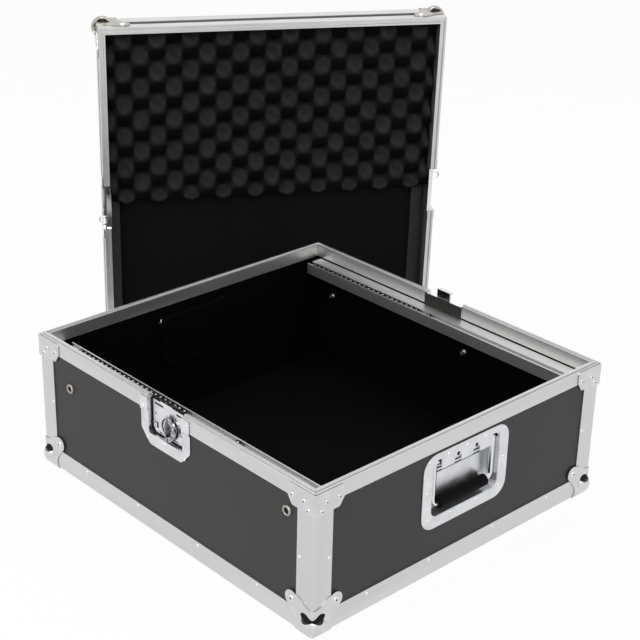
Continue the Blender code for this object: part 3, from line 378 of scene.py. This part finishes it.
def lathe(bm, place, normal, profile, segments, endless=False):
    """Turn (radius, height) points round a normal, and return the last circle.

    endless joins the last circle to the first, as in a ring.
    """
    turn = Vector(normal).to_track_quat("Z", "Y").to_matrix()
    circles = []
    for reach, rise in profile:
        circle = []
        for index in range(segments):
            angle = 2 * math.pi * index / segments
            spot = Vector((reach * math.cos(angle), reach * math.sin(angle), rise))
            circle.append(bm.verts.new(Vector(place) + turn @ spot))
        circles.append(circle)
    for low, high in zip(circles, circles[1:] + circles[:1] if endless else circles[1:]):
        for index in range(segments):
            on = (index + 1) % segments
            bm.faces.new((low[index], low[on], high[on], high[index]))
    return circles[-1]


def dome(bm, place, normal, radius, height, dimple=0.0, segments=16):
    """A rivet head on a face.  dimple is the depth of the hollow in its middle, as a share."""
    profile = [(1.0, 0.0), (0.96, 0.35), (0.82, 0.72), (0.60, 0.94), (0.42, 1.0)]
    if dimple:
        profile += [(0.34, 0.96), (0.28, 1.0 - dimple)]
    points = [(radius * share, height * rise) for share, rise in profile]
    bm.faces.new(lathe(bm, place, normal, points, segments))


def collar(bm, place, normal, radius, hole, height):
    """A flat ring on a face, with its edges rounded over."""
    soft = (radius - hole) * 0.22
    points = [(radius, 0.0), (radius, height * 0.5), (radius - soft, height), (hole + soft, height),
              (hole, height * 0.6), (hole, 0.0)]
    lathe(bm, place, normal, points, segments=24, endless=True)


def lid_frame():
    """Where the lid's own frame stands.  In it the mouth is at z = 0 and the flat top at LID_HEIGHT."""
    along = Vector((math.cos(LID_TURN), math.sin(LID_TURN), 0))
    mouth = Vector((math.sin(LID_TURN), -math.cos(LID_TURN), 0))
    up = Vector((0, 0, 1)) * math.cos(LID_LEAN) + mouth * math.sin(LID_LEAN)
    outwards = (-along).cross(up)
    low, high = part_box("lid_panel")
    panel_middle = LID_HEIGHT - PANEL_FACE - PANEL / 2
    turn = Matrix((-along, up, outwards)).transposed().to_4x4()
    return Matrix.Translation((low + high) / 2 - outwards * panel_middle) @ turn


LID = lid_frame()


# Solids that are cut and joined


def block(low, high, radius=0.0):
    """A box whose three edges at its corner (+X, +Y, -Z) are rounded."""
    bm = bmesh.new()
    bmesh.ops.create_cube(bm, size=1)
    for vertex in bm.verts:
        for axis in range(3):
            vertex.co[axis] = high[axis] if vertex.co[axis] > 0 else low[axis]
    if radius:
        tip = max(bm.verts, key=lambda vertex: vertex.co.x + vertex.co.y - vertex.co.z)
        bmesh.ops.bevel(bm, geom=list(tip.link_edges), offset=radius, segments=8,
                        affect="EDGES", profile=0.5)
    return bm


def prism(outline, axis, start, end):
    """An outline of (across, up) points pushed along x, y or z."""
    bm = bmesh.new()
    rings = []
    for depth in (start, end):
        spots = {"x": [(depth, u, v) for u, v in outline], "y": [(u, depth, v) for u, v in outline],
                 "z": [(u, v, depth) for u, v in outline]}[axis]
        rings.append([bm.verts.new(spot) for spot in spots])
    bm.faces.new(rings[0])
    bm.faces.new(rings[1])
    for index in range(len(outline)):
        on = (index + 1) % len(outline)
        bm.faces.new((rings[0][index], rings[0][on], rings[1][on], rings[1][index]))
    bmesh.ops.recalc_face_normals(bm, faces=bm.faces)
    return bm


def ball(centre, radius):
    bm = bmesh.new()
    bmesh.ops.create_uvsphere(bm, u_segments=40, v_segments=24, radius=radius)
    bmesh.ops.translate(bm, vec=centre, verts=bm.verts)
    return bm


def combine(operation, first, *others):
    """Join, cut or intersect closed meshes.  Takes and gives meshes under construction."""
    def stand(bm):
        mesh = bpy.data.meshes.new("blank")
        bm.to_mesh(mesh)
        bm.free()
        blank = bpy.data.objects.new("blank", mesh)
        bpy.context.scene.collection.objects.link(blank)
        return blank

    body = stand(first)
    for other in others:
        tool = stand(other)
        step = body.modifiers.new("step", "BOOLEAN")
        step.object = tool
        step.operation = operation
        step.solver = "EXACT"
        graph = bpy.context.evaluated_depsgraph_get()
        result = bpy.data.meshes.new_from_object(body.evaluated_get(graph))
        body.modifiers.clear()
        body.data = result
        bpy.data.objects.remove(tool)
    bm = bmesh.new()
    bm.from_mesh(body.data)
    bpy.data.objects.remove(body)
    return bm


def slice_off(bm, place, normal):
    """Cut off what lies beyond a plane, and close the cut."""
    every = bm.verts[:] + bm.edges[:] + bm.faces[:]
    cut = bmesh.ops.bisect_plane(bm, geom=every, plane_co=place, plane_no=normal, clear_outer=True)
    edges = [part for part in cut["geom_cut"] if isinstance(part, bmesh.types.BMEdge)]
    bmesh.ops.holes_fill(bm, edges=edges)
    bmesh.ops.recalc_face_normals(bm, faces=bm.faces)


def arc(centre, radius, first, last, steps):
    """Points on an arc, its angles in degrees."""
    points = []
    for step in range(steps + 1):
        angle = math.radians(first + (last - first) * step / steps)
        points.append((centre[0] + radius * math.cos(angle), centre[1] + radius * math.sin(angle)))
    return points


def circle_outline(centre, radius, segments=36):
    return arc(centre, radius, 0, 360 - 360 / segments, segments - 1)


# Stamped ball corners, with the case's own corner at 0 and its faces at +X, +Y and -Z.
# Outlines are in millimetres: from the upright's arris, and above the case's underside

EAR_INNER = 0.0003  # how far the sheet's two sides stand off the case
EAR_OUTER = 0.0015
EAR_CUT = (-0.0045, 0.0030)  # the ears' outlines are pushed through these depths
FLOOR_EAR_CUT = (-0.0030, 0.0045)
OUTER_REACH = 0.07  # blanks are longer than the ears, and what is cut out of them is longer still
INNER_REACH = 0.08
CASE_ARRIS = 0.0026
BALL_CENTRE = (-0.0092, -0.0092, 0.0134)
BALL_RADIUS = 0.0165
BALL_BOX = ((-0.05, -0.05, -0.0026), (0.03, 0.03, 0.05))  # flattens the ball under the case
BALL_RELIEF = 0.0067  # how far the case's tip is cut back inside the ball
LID_BALL_SQUEEZE = 0.86  # the lid's corners are lower
LOBE_MIDDLE = (37.3, 41.2)
LOBE_RADIUS = 11.2
MOUTH = [(-12, 26.9), (0, 26.9), (4, 28.0), (8, 30.2), (12, 31.6), (16, 31.0), (19.2, 28.8),
         (20.2, 26.2), (18.8, 23.4), (15, 20.6), (11, 19.4), (6, 20.0), (2.5, 21.6), (0, 22.8),
         (-12, 22.8)]
MOUTH_CUT = (-0.0060, 0.0120)
MOUTH_MIDDLE = 25
MOUTH_WIDER = 1.05
MOUTH_TALLER = 1.2
MOUTH_SHADE_INNER = 0.00005  # the mouth's painted shade sheet, partly the black case edge, between the case and the sheet
MOUTH_SHADE_OUTER = 0.00025
CORNER_BEVEL = 0.0004
HOLE_SEAT = 0.0006  # from a rivet's seat up to the painted shade spot in its hollow
FLOOR_GAP = 0.0001


def on_faces(points):
    """Outline points in metres, turned so that away from the arris is negative."""
    return [(-u / 1000, v / 1000) for u, v in points]


def on_floor(points):
    return [(u / 1000, v / 1000) for u, v in points]


def both_faces(outline, depths):
    """An outline pushed through the case's X face and its Y face."""
    return prism(outline, "x", *depths), prism(outline, "y", *depths)


def ear_outline():
    """One ear on an upright face: a round lobe on a neck, with a hollow edge towards the arris."""
    hollow = [(-3, 38.9), (2, 38.9), (6, 39.2), (11, 40.2), (16, 43.0), (20, 46.0), (25, 48.9)]
    neck = [(39, 26.5), (32.5, 18), (29.5, 12), (29.5, 6), (32, 0), (33, -3), (-3, -3)]
    return hollow + arc(LOBE_MIDDLE, LOBE_RADIUS, 128, -32, 22) + neck


def floor_ear_outline():
    """The ear under the case, its lobe on the diagonal."""
    start = [(3, 3), (3, -30), (-2, -30), (-16, -28), (-26, -38)]
    end = [(-38, -26), (-28, -16), (-30, -2), (-30, 3)]
    return start + arc((-37, -37), LOBE_RADIUS, -45, -225, 18) + end


def case_corner(proud, reach):
    """The case's own corner, with its faces moved outwards by proud."""
    return block((-reach, -reach, -proud), (proud, proud, reach), CASE_ARRIS + proud)


def ball_corner_solid():
    ears = combine("UNION", *both_faces(on_faces(ear_outline()), EAR_CUT),
                   prism(on_floor(floor_ear_outline()), "z", *FLOOR_EAR_CUT))
    plates = combine("INTERSECT", case_corner(EAR_OUTER, OUTER_REACH), ears)
    round_part = combine("INTERSECT", ball(BALL_CENTRE, BALL_RADIUS), block(*BALL_BOX))
    hollow = case_corner(EAR_INNER, INNER_REACH)
    tip = Vector((1, 1, -1)).normalized()
    slice_off(hollow, tip * (EAR_INNER - BALL_RELIEF / math.sqrt(3)), tip)
    return combine("DIFFERENCE", combine("UNION", plates, round_part), hollow,
                   *both_faces(on_faces(MOUTH), MOUTH_CUT))


def mouth_shade_solid():
    """Painted shade in the mouth, partly the black case edge that it shows, lying on the case's own
    edge.
    """
    wider = [(u * MOUTH_WIDER, MOUTH_MIDDLE + (v - MOUTH_MIDDLE) * MOUTH_TALLER) for u, v in MOUTH]
    both = combine("UNION", *both_faces(on_faces(wider), EAR_CUT))
    outer = combine("INTERSECT", case_corner(MOUTH_SHADE_OUTER, OUTER_REACH), both)
    return combine("DIFFERENCE", outer, case_corner(MOUTH_SHADE_INNER, INNER_REACH))


def corner_rivets(proud, radius, height, dimple):
    """One rivet in each lobe of a corner."""
    bm = bmesh.new()
    u, v = -LOBE_MIDDLE[0] / 1000, LOBE_MIDDLE[1] / 1000
    for place, normal in (((proud, u, v), (1, 0, 0)), ((u, proud, v), (0, 1, 0))):
        dome(bm, place, normal, radius, height, dimple, segments=20)
    return bm


def keep_above_floor(bm):
    """Cut off what would stand below the floor."""
    if min(vertex.co.z for vertex in bm.verts) <= FLOOR_LINE:
        slice_off(bm, (0, 0, FLOOR_LINE + FLOOR_GAP), (0, 0, -1))


def corner_stand(body, sx, sy, turn):
    """Where a corner of the base or the lid is, and which way it looks."""
    if body == "base":
        return Matrix.Translation((sx * HALF_W, sy * HALF_D, UNDERSIDE)) @ Matrix.Rotation(
            math.radians(turn), 4, "Z")
    upside_down = (Matrix.Rotation(math.radians(turn + 90), 4, "Z") @ Matrix.Rotation(math.pi, 4, "X")
                   @ Matrix.Diagonal((1, 1, LID_BALL_SQUEEZE, 1)))
    return LID @ Matrix.Translation((sx * HALF_W, sy * HALF_D, LID_HEIGHT)) @ upside_down


def ball_corners():
    solid = ball_corner_solid()
    # painted shade in the corners' mouths, partly the black case edge
    lining = mouth_shade_solid()
    rivets = corner_rivets(EAR_OUTER, radius=0.0046, height=0.0015, dimple=0.7)
    # dark spots of painted shade in the rivets' hollows
    holes = corner_rivets(EAR_OUTER + HOLE_SEAT, radius=0.0017, height=0.0006, dimple=0.6)
    for prefix, body, metal in (("", "base", CORNER_STEEL), ("lid_", "lid", LID_STEEL_PAINTED_REFLECTION)):
        for corner, (sx, sy, turn) in CORNERS.items():
            stand = corner_stand(body, sx, sy, turn)
            for part, source, material in (("corner_shell_", solid, metal),
                                           ("corner_rivets_", rivets, ZINC),
                                           ("corner_rivet_holes_", holes, PAINTED_SHADE),
                                           ("corner_mouth_", lining, PAINTED_SHADE)):
                bm = move(source.copy(), stand)
                keep_above_floor(bm)
                made = piece(prefix + part + corner, bm, material, body,
                             bevel=CORNER_BEVEL if source is solid else 0.0)
                if source is solid:
                    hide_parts(prefix + "ball_corner_" + corner)
    for source in (solid, lining, rivets, holes):
        source.free()


ball_corners()


# Bolts through the wall, at (y, z)

BOLTS = {"left": ((RAIL_HALF - 0.0494, RAIL_TOP - 0.0416), (0.0293 - RAIL_HALF, RAIL_TOP - 0.0250)),
         "right": ((RAIL_HALF - 0.0344, RAIL_TOP - 0.0531), (0.2134 - RAIL_HALF, RAIL_TOP - 0.0469))}
# How far the cup and its socket start below the washer's face
CUP_SEAT = 0.0016
SOCKET_SEAT = 0.0001


def bolt_cups():
    """Cup washers over the rail bolts, with a painted shade dome for the socket in the middle."""
    for side, sign in SIDES:
        face = abs(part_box("rack_rail_" + side)[0 if sign < 0 else 1].x)
        cups, sockets = bmesh.new(), bmesh.new()
        for y, z in BOLTS[side]:
            collar(cups, (sign * (face - CUP_SEAT), y, z), (sign, 0, 0),
                   radius=0.0072, hole=0.0040, height=0.0018)
            dome(sockets, (sign * (face - SOCKET_SEAT), y, z), (sign, 0, 0),
                 radius=0.0041, height=0.0003, dimple=0.5, segments=20)
        piece("bolt_cups_" + side, cups, CORE, "base")
        piece("bolt_sockets_" + side, sockets, PAINTED_SHADE, "base")


bolt_cups()


# Butterfly latches: what stands in front of the arm.  x is minus the depth from the case's face.
# z is from the rim on the cover, and from the axle on the handle

AXLE_DROP = 0.0339
THROUGH = (-0.02, 0.02)
COVER_SHEET = (-0.0070, -0.0062)
COVER_HALF = 0.0318
COVER_LOW = -0.0505
COVER_TOP = -0.0036
COVER_CHAMFER = 0.0060
WINDOW_RADIUS = 0.0131
# Middle (y, z), half length and half height
SLITS = ((0.0215, -0.0085, 0.0050, 0.0013), (-0.0190, -0.0085, 0.0105, 0.0014),
         (0.0235, -0.0300, 0.0017, 0.0040), (-0.0235, -0.0400, 0.0017, 0.0046),
         (0.0, -0.0484, 0.0200, 0.0008), (0.0135, -0.0180, 0.0017, 0.0034))
COVER_RIVETS = ((0.0265, -0.0230), (-0.0265, -0.0230), (0.0265, -0.0360), (-0.0262, -0.0350))
WING_SHEET = (-0.0043, -0.0012)
WING_RADIUS = 0.0185
WING_SWEEP = 82
WING_HOLE_MIDDLE = (0.0035, 0)
WING_HOLE_RADIUS = 0.0100
WING_HOLE_SWEEP = 78
WING_PIN_MIDDLE = (-0.0028, 0.0)
WING_PIN_RADIUS = 0.0016
WING_PIN_ENDS = (-0.0180, 0.0180)
DISC_FACE = -0.0046
DISC_RING_RADIUS = 0.0126
DISC_RING_HOLE = 0.0112
DISC_RING_THICK = 0.0005
BOSS_MIDDLE = (DISC_FACE, -0.0042, 0.0020)


def latch_cover():
    """The plate over the arm, with a round window for the disc and slits."""
    half, low, top, corner = COVER_HALF, COVER_LOW, COVER_TOP, COVER_CHAMFER
    outline = [(-half, top), (-half, low + corner), (corner - half, low), (half - corner, low),
               (half, low + corner), (half, top)]
    cutters = [prism(circle_outline((0, -AXLE_DROP), WINDOW_RADIUS), "x", *THROUGH)]
    for y, z, long, tall in SLITS:
        slit = [(y - long, z - tall), (y + long, z - tall), (y + long, z + tall), (y - long, z + tall)]
        cutters.append(prism(slit, "x", *THROUGH))
    return combine("DIFFERENCE", prism(outline, "x", *COVER_SHEET), *cutters)


def latch_cover_rivets():
    bm = bmesh.new()
    for y, z in COVER_RIVETS:
        dome(bm, (COVER_SHEET[1], y, z), (1, 0, 0), radius=0.0022, height=0.0008, dimple=0.6)
    return bm


def latch_wing():
    """A folding wing: half a thick ring on its hinge pin, beside the disc's middle."""
    outer = arc((0, 0), WING_RADIUS, -WING_SWEEP, WING_SWEEP, 20)
    inner = arc(WING_HOLE_MIDDLE, WING_HOLE_RADIUS, WING_HOLE_SWEEP, -WING_HOLE_SWEEP, 16)
    pin = prism(circle_outline(WING_PIN_MIDDLE, WING_PIN_RADIUS, 12), "z", *WING_PIN_ENDS)
    return combine("UNION", prism(outer + inner, "x", *WING_SHEET), pin)


def disc_ring():
    """A thin flat ring of painted shade that draws the disc's outline."""
    disc = prism(circle_outline((0, 0), DISC_RING_RADIUS), "x", DISC_FACE, DISC_FACE + DISC_RING_THICK)
    hole = prism(circle_outline((0, 0), DISC_RING_HOLE), "x",
                 DISC_FACE - DISC_RING_THICK, DISC_FACE + 2 * DISC_RING_THICK)
    return combine("DIFFERENCE", disc, hole)


def latch_boss():
    bm = bmesh.new()
    dome(bm, BOSS_MIDDLE, (1, 0, 0), radius=0.0040, height=0.0022, dimple=0.4, segments=20)
    return bm


def latches():
    for side, sign in SIDES:
        turn = Matrix.Rotation(math.pi if side == "left" else 0.0, 4, "Z")
        roll = Matrix.Rotation(math.pi if side == "right" else 0.0, 4, "X")
        wall = Matrix.Translation((sign * HALF_W, 0, RIM_Z)) @ turn
        axle = Matrix.Translation((sign * HALF_W, 0, RIM_Z - AXLE_DROP)) @ turn @ roll
        handle = side + "_latch_handle"
        piece("latch_cover_" + side, move(latch_cover(), wall), PAN, "base", bevel=0.0002)
        piece("latch_cover_rivets_" + side, move(latch_cover_rivets(), wall), CHROME_PAINTED_REFLECTIONS, "base")
        piece("latch_wing_" + side, move(latch_wing(), axle), CHROME_PAINTED_REFLECTIONS, handle, bevel=0.0003)
        piece("latch_disc_ring_" + side, move(disc_ring(), axle), PAINTED_SHADE, handle)
        piece("latch_boss_" + side, move(latch_boss(), axle), ZINC, handle)


latches()


# The nuts' collars, which stand up into the rail's slot

NUT_PITCH = 0.0102
COLLAR_SEAT = 0.0001
NUT_BODIES = {"nut_row_left": "left_nut_row", "nut_row_right": "right_nut_row",
              "loose_nut_left": "left_loose_nut", "loose_nut_right": "right_loose_nut"}


def nut_collars():
    for row, body in NUT_BODIES.items():
        low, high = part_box(row)
        count = max(1, round((high.y - low.y) / NUT_PITCH))
        collars, cores = bmesh.new(), bmesh.new()
        for index in range(count):
            y = low.y + (high.y - low.y) * (index + 0.5) / count
            spot = Vector(((low.x + high.x) / 2, y, high.z - COLLAR_SEAT))
            collar(collars, spot, (0, 0, 1), radius=0.0040, hole=0.0025, height=0.0024)
            dome(cores, spot, (0, 0, 1), radius=0.0026, height=0.0021, dimple=0.2)
        # The collars are painted-shade black: the dark ring round each core
        piece(row + "_collars", collars, PAINTED_SHADE, body)
        piece(row + "_cores", cores, CORE, body)


nut_collars()


# Hinge plates over the bails

DISH_FACE = HALF_D - PANEL_FACE + SHEET
HINGE_SCREWS_X = (-0.0349, 0.0, 0.0349)
HINGE_SCREWS_Z = 0.1712
HINGE_NOTCHES_X = (-0.01745, 0.01745)
HINGE_NOTCHES_Z = 0.1655
NOTCH_SEAT = 0.0004
BAY_BACK = HALF_D - 0.0154
RIDGE_HALF = 0.0440
RIDGE_TALL = 0.0018
RIDGE_ROOT = 0.0003
RIDGE_PROUD = 0.0016
RIDGES_Z = (0.1490, 0.1440, 0.1385)


def hinge_plates():
    """Screws and painted shade for the notches on the plate that the bail swings in, and ridges in the
    bay behind.
    """
    for side, sign in (("front", -1), ("back", 1)):
        screws, gaps, ridges = bmesh.new(), bmesh.new(), []
        for x in HINGE_SCREWS_X:
            dome(screws, (x, sign * DISH_FACE, HINGE_SCREWS_Z), (0, sign, 0),
                 radius=0.0034, height=0.0012, dimple=0.6)
        piece("hinge_screws_" + side, screws, ZINC, "base")
        for z in RIDGES_Z:
            outline = [(-RIDGE_HALF, z), (RIDGE_HALF, z), (RIDGE_HALF, z + RIDGE_TALL),
                       (-RIDGE_HALF, z + RIDGE_TALL)]
            ridges.append(prism(outline, "y", sign * (BAY_BACK - RIDGE_ROOT),
                                sign * (BAY_BACK + RIDGE_PROUD)))
        piece("bay_ridges_" + side, combine("UNION", *ridges), DISH, "base", bevel=0.0004)
        for x in HINGE_NOTCHES_X:
            dome(gaps, (x, sign * (DISH_FACE - NOTCH_SEAT), HINGE_NOTCHES_Z), (0, sign, 0),
                 radius=0.0034, height=0.0006)
        piece("hinge_notches_" + side, gaps, PAINTED_SHADE, "base")


hinge_plates()


# Rivets.  Insets are from the case's side, and heights are z

RIVET_RADIUS = 0.0026
UPRIGHT_RIVET = (0.0257, 0.1045)
BRACE_RIVETS = ((0.0180, 0.1868), (0.0391, 0.1868), (0.0103, 0.1765))
BRACE_HOLE_SEAT = 0.0008
BASE_ANGLE_RIVETS = (-0.175, -0.062, 0.062, 0.175)
BASE_ANGLE_RIVETS_UP = 0.0247
LONG_SIDE = 1.05  # the rivets stand this much further apart along the longer sides
# (y, z) on the right latch's pan and on its frame, which laps the rim.  The left one is turned round
PAN_RIVETS = ((0.0394, 0.1416), (-0.0381, 0.1421), (-0.0027, 0.1451))
FRAME_RIVETS = ((0.0469, 0.1938), (-0.0445, 0.1867))
# (x, z) on one half of a handle's dish
DISH_RIVETS = ((0.0710, 0.1708), (0.0735, 0.1266), (0.0686, 0.0844), (0.0241, 0.0803))


def edge_rivet(bm, place, normal):
    dome(bm, place, normal, RIVET_RADIUS, height=0.0009)


def plate_rivet(bm, place, normal):
    dome(bm, place, normal, RIVET_RADIUS, height=0.0010, dimple=0.6)


def base_rivets():
    bm, holes = bmesh.new(), bmesh.new()
    for sx, sy, _ in CORNERS.values():
        x, y = sx * HALF_W, sy * HALF_D
        inset, z = UPRIGHT_RIVET
        edge_rivet(bm, (x, y - sy * inset, z), (sx, 0, 0))
        edge_rivet(bm, (x - sx * inset, y, z), (0, sy, 0))
        for inset, z in BRACE_RIVETS:
            for place, normal in (((x + sx * SHEET, y - sy * inset, z), (sx, 0, 0)),
                                  ((x - sx * inset, y + sy * SHEET, z), (0, sy, 0))):
                dome(bm, place, normal, radius=0.0031, height=0.0010, dimple=0.5)
                # a dark dome of painted shade in each brace rivet's hollow
                dome(holes, Vector(place) + BRACE_HOLE_SEAT * Vector(normal), normal,
                     radius=0.0013, height=0.0004, dimple=0.4)
    for sign in (-1, 1):
        for place in BASE_ANGLE_RIVETS:
            z = UNDERSIDE + BASE_ANGLE_RIVETS_UP
            edge_rivet(bm, (sign * HALF_W, place * LONG_SIDE, z), (sign, 0, 0))
            edge_rivet(bm, (place, sign * HALF_D, z), (0, sign, 0))
        face = HALF_W - PANEL_FACE + SHEET
        for y, z in PAN_RIVETS:
            plate_rivet(bm, (sign * face, sign * y, z), (sign, 0, 0))
        for y, z in FRAME_RIVETS:
            plate_rivet(bm, (sign * (HALF_W + SHEET), sign * y, z), (sign, 0, 0))
        for x, z in DISH_RIVETS:
            for half in (-1, 1):
                plate_rivet(bm, (half * x, sign * DISH_FACE, z), (0, sign, 0))
    piece("base_rivets", bm, ZINC, "base")
    piece("brace_rivet_holes", holes, PAINTED_SHADE, "base")


base_rivets()


# Foam and lining in the lid, in the lid's own frame

PANEL_INSIDE = 0.0425
FOAM_HALF = 0.2561
FOAM_ENDS = (0.0003, 0.2769)
FOAM_STEP = 0.0024
FOAM_PITCH = 0.0513
FOAM_THICK = 0.0246
FOAM_WAVE = 0.0092
FOAM_BLUNTNESS = 0.76
FOAM_EDGE_WIDTH = 0.004
FOAM_EDGE_SHARE = 0.90
FOAM_EDGE_RISE = 0.10
# How many bumps in a metre, and how high
FOAM_FINE = (60, 0.0010)
FOAM_COARSE = (18, 0.0012)
LINING_HALF = 0.2397
LINING_ENDS = (-0.2769, -0.0003)
LINING_FACE = 0.0387
LINING_ROLL_DROP = 0.0012
LINING_ROLL_WIDTH = 0.003
LINING_WRINKLE = (14, 0.0005)
LINING_CELLS = (90, 52)


def soft_sheet(half_x, ends, across, along, height):
    """A surface over the lid's panel, closed at its edges down to the panel.

    height gives its z from x, y and the distance to the nearest edge.
    """
    low_y, high_y = ends
    bm = bmesh.new()
    grid = []
    for row in range(along + 1):
        y = low_y + (high_y - low_y) * row / along
        line = []
        for column in range(across + 1):
            x = -half_x + 2 * half_x * column / across
            edge = min(half_x - abs(x), y - low_y, high_y - y)
            line.append(bm.verts.new((x, y, height(x, y, edge))))
        grid.append(line)
    for row in range(along):
        for column in range(across):
            bm.faces.new((grid[row][column], grid[row + 1][column], grid[row + 1][column + 1],
                          grid[row][column + 1]))
    rim = [grid[0], [line[-1] for line in grid], grid[-1][::-1], [line[0] for line in grid][::-1]]
    for side in rim:
        foot = [bm.verts.new((vertex.co.x, vertex.co.y, PANEL_INSIDE)) for vertex in side]
        for index in range(len(side) - 1):
            bm.faces.new((side[index], side[index + 1], foot[index + 1], foot[index]))
    bmesh.ops.recalc_face_normals(bm, faces=bm.faces)
    return move(bm, LID)


def bumps(x, y, z, rate, height):
    return noise.noise(Vector((x, y, z)) * rate) * height


def foam_height(x, y, edge):
    """Blunt peaks in a staggered lattice, a little uneven, and lower at the edges."""
    wave = 2 * math.pi / FOAM_PITCH
    swell = math.cos(wave * x) * math.cos(wave * (y - FOAM_ENDS[1]))
    peak = math.copysign(abs(swell) ** FOAM_BLUNTNESS, swell)
    rough = bumps(x, y, 0, *FOAM_FINE) + bumps(x, y, 3, *FOAM_COARSE)
    z = PANEL_INSIDE - FOAM_THICK - FOAM_WAVE * peak + rough
    settle = FOAM_EDGE_SHARE + FOAM_EDGE_RISE * min(1.0, edge / FOAM_EDGE_WIDTH)
    return PANEL_INSIDE - (PANEL_INSIDE - z) * settle


def lining_height(x, y, edge):
    """A thin pad that lies a little unevenly, with its edges rolled down."""
    roll = LINING_ROLL_DROP * (1 - min(1.0, edge / LINING_ROLL_WIDTH)) ** 2
    return LINING_FACE + roll + bumps(x, y, 0, *LINING_WRINKLE)


def lid_foam():
    """Egg-crate foam."""
    across = round(2 * FOAM_HALF / FOAM_STEP)
    along = round((FOAM_ENDS[1] - FOAM_ENDS[0]) / FOAM_STEP)
    bm = soft_sheet(FOAM_HALF, FOAM_ENDS, across, along, foam_height)
    foam = piece("lid_egg_crate_foam", bm, FOAM, "lid", angle=80)
    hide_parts("lid_foam")


def lid_lining():
    """A thin padded sheet."""
    bm = soft_sheet(LINING_HALF, LINING_ENDS, *LINING_CELLS, lining_height)
    sheet = piece("lid_lining_sheet", bm, LINING, "lid", angle=80)
    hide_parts("lid_lining")


lid_foam()
lid_lining()


# Floor, light and camera

FLOOR_SIZE = 16
FLOOR_GREY = (0.82, 0.82, 0.82, 1)
FLOOR_SEEN = (0.95, 0.95, 0.95, 1)
FLOOR_GLOW = 0.93
WHITE = (1, 1, 1, 1)
WORLD_LIGHT = 0.42
# Name, place, what it looks at, size, power, colour
LAMPS = (("key", (-2.0, -2.6, 2.6), (0, 0, 0.15), (2.2, 1.6), 60, (1.0, 0.99, 0.98)),
         ("left_fill", (-3.0, 0.6, 1.6), (0, 0, 0.1), (1.8, 1.8), 26, (1.0, 0.97, 0.94)),
         ("top", (0.6, 0.4, 3.2), (0, 0, 0.1), (2.4, 2.4), 34, (0.97, 0.98, 1.0)))
# The camera that was fitted to the photo: yaw, pitch and roll in degrees, lens in millimetres
CAMERA_ANGLES = (43.414, 24.941, -1.433)
CAMERA_PLACE = (-1.3308, -1.4112, 1.1477)
CAMERA_LENS = 86.87
CAMERA_SENSOR = 36


def white_for_rays(tree, plain, seen):
    """plain lights the object; camera, mirror and glass rays get seen."""
    path = tree.nodes.new("ShaderNodeLightPath").outputs
    either = calc(tree, "MAXIMUM", path["Is Camera Ray"], path["Is Glossy Ray"])
    every = calc(tree, "MAXIMUM", either, path["Is Transmission Ray"])
    choice = tree.nodes.new("ShaderNodeMixShader")
    tree.links.new(every, choice.inputs[0])
    tree.links.new(plain, choice.inputs[1])
    tree.links.new(seen, choice.inputs[2])
    return choice.outputs[0]


def make_floor():
    """A grey floor for the light, and a nearly white one with the object's shadow for the eye."""
    material = bpy.data.materials.new("pale_floor")
    material.use_nodes = True
    tree = material.node_tree
    tree.nodes.clear()
    plain = put(tree, "ShaderNodeBsdfDiffuse", Color=FLOOR_GREY)
    bright = put(tree, "ShaderNodeEmission", Color=WHITE, Strength=1.0)
    shade = put(tree, "ShaderNodeBsdfDiffuse", Color=FLOOR_SEEN)
    mixed = tree.nodes.new("ShaderNodeMixShader")
    mixed.inputs[0].default_value = FLOOR_GLOW
    tree.links.new(shade.outputs[0], mixed.inputs[1])
    tree.links.new(bright.outputs[0], mixed.inputs[2])
    out = tree.nodes.new("ShaderNodeOutputMaterial")
    tree.links.new(white_for_rays(tree, plain.outputs[0], mixed.outputs[0]), out.inputs["Surface"])
    bpy.ops.mesh.primitive_plane_add(size=FLOOR_SIZE, location=(0, 0, FLOOR_LINE))
    floor = bpy.context.object
    floor.name = "floor"
    floor.data.materials.append(material)


def make_world():
    world = bpy.data.worlds.new("studio")
    bpy.context.scene.world = world
    world.use_nodes = True
    tree = world.node_tree
    tree.nodes.clear()
    plain = put(tree, "ShaderNodeBackground", Color=WHITE, Strength=WORLD_LIGHT)
    seen = put(tree, "ShaderNodeBackground", Color=WHITE, Strength=1.0)
    out = tree.nodes.new("ShaderNodeOutputWorld")
    tree.links.new(white_for_rays(tree, plain.outputs[0], seen.outputs[0]), out.inputs["Surface"])


def soft_light(name, place, target, size, power, colour):
    lamp = bpy.data.lights.new(name, "AREA")
    lamp.shape = "RECTANGLE"
    lamp.size, lamp.size_y = size
    lamp.energy = power
    lamp.color = colour
    holder = bpy.data.objects.new(name, lamp)
    holder.location = place
    holder.rotation_euler = (Vector(place) - Vector(target)).to_track_quat("Z", "Y").to_euler()
    bpy.context.scene.collection.objects.link(holder)


def make_camera():
    yaw, pitch, roll = (math.radians(angle) for angle in CAMERA_ANGLES)
    level = math.cos(pitch)
    forward = Vector((math.sin(yaw) * level, math.cos(yaw) * level, -math.sin(pitch)))
    side = Vector((math.cos(yaw), -math.sin(yaw), 0))
    down = forward.cross(side)
    across = math.cos(roll) * side + math.sin(roll) * down
    up = math.sin(roll) * side - math.cos(roll) * down
    lens = bpy.data.cameras.new("photo_camera")
    lens.sensor_width = CAMERA_SENSOR
    lens.lens = CAMERA_LENS
    camera = bpy.data.objects.new("photo_camera", lens)
    turn = Matrix((across, up, -forward)).transposed().to_4x4()
    camera.matrix_world = Matrix.Translation(CAMERA_PLACE) @ turn
    bpy.context.scene.collection.objects.link(camera)
    bpy.context.scene.camera = camera


make_floor()
make_world()
for lamp in LAMPS:
    soft_light(*lamp)
make_camera()
bpy.context.scene.view_settings.view_transform = "Standard"
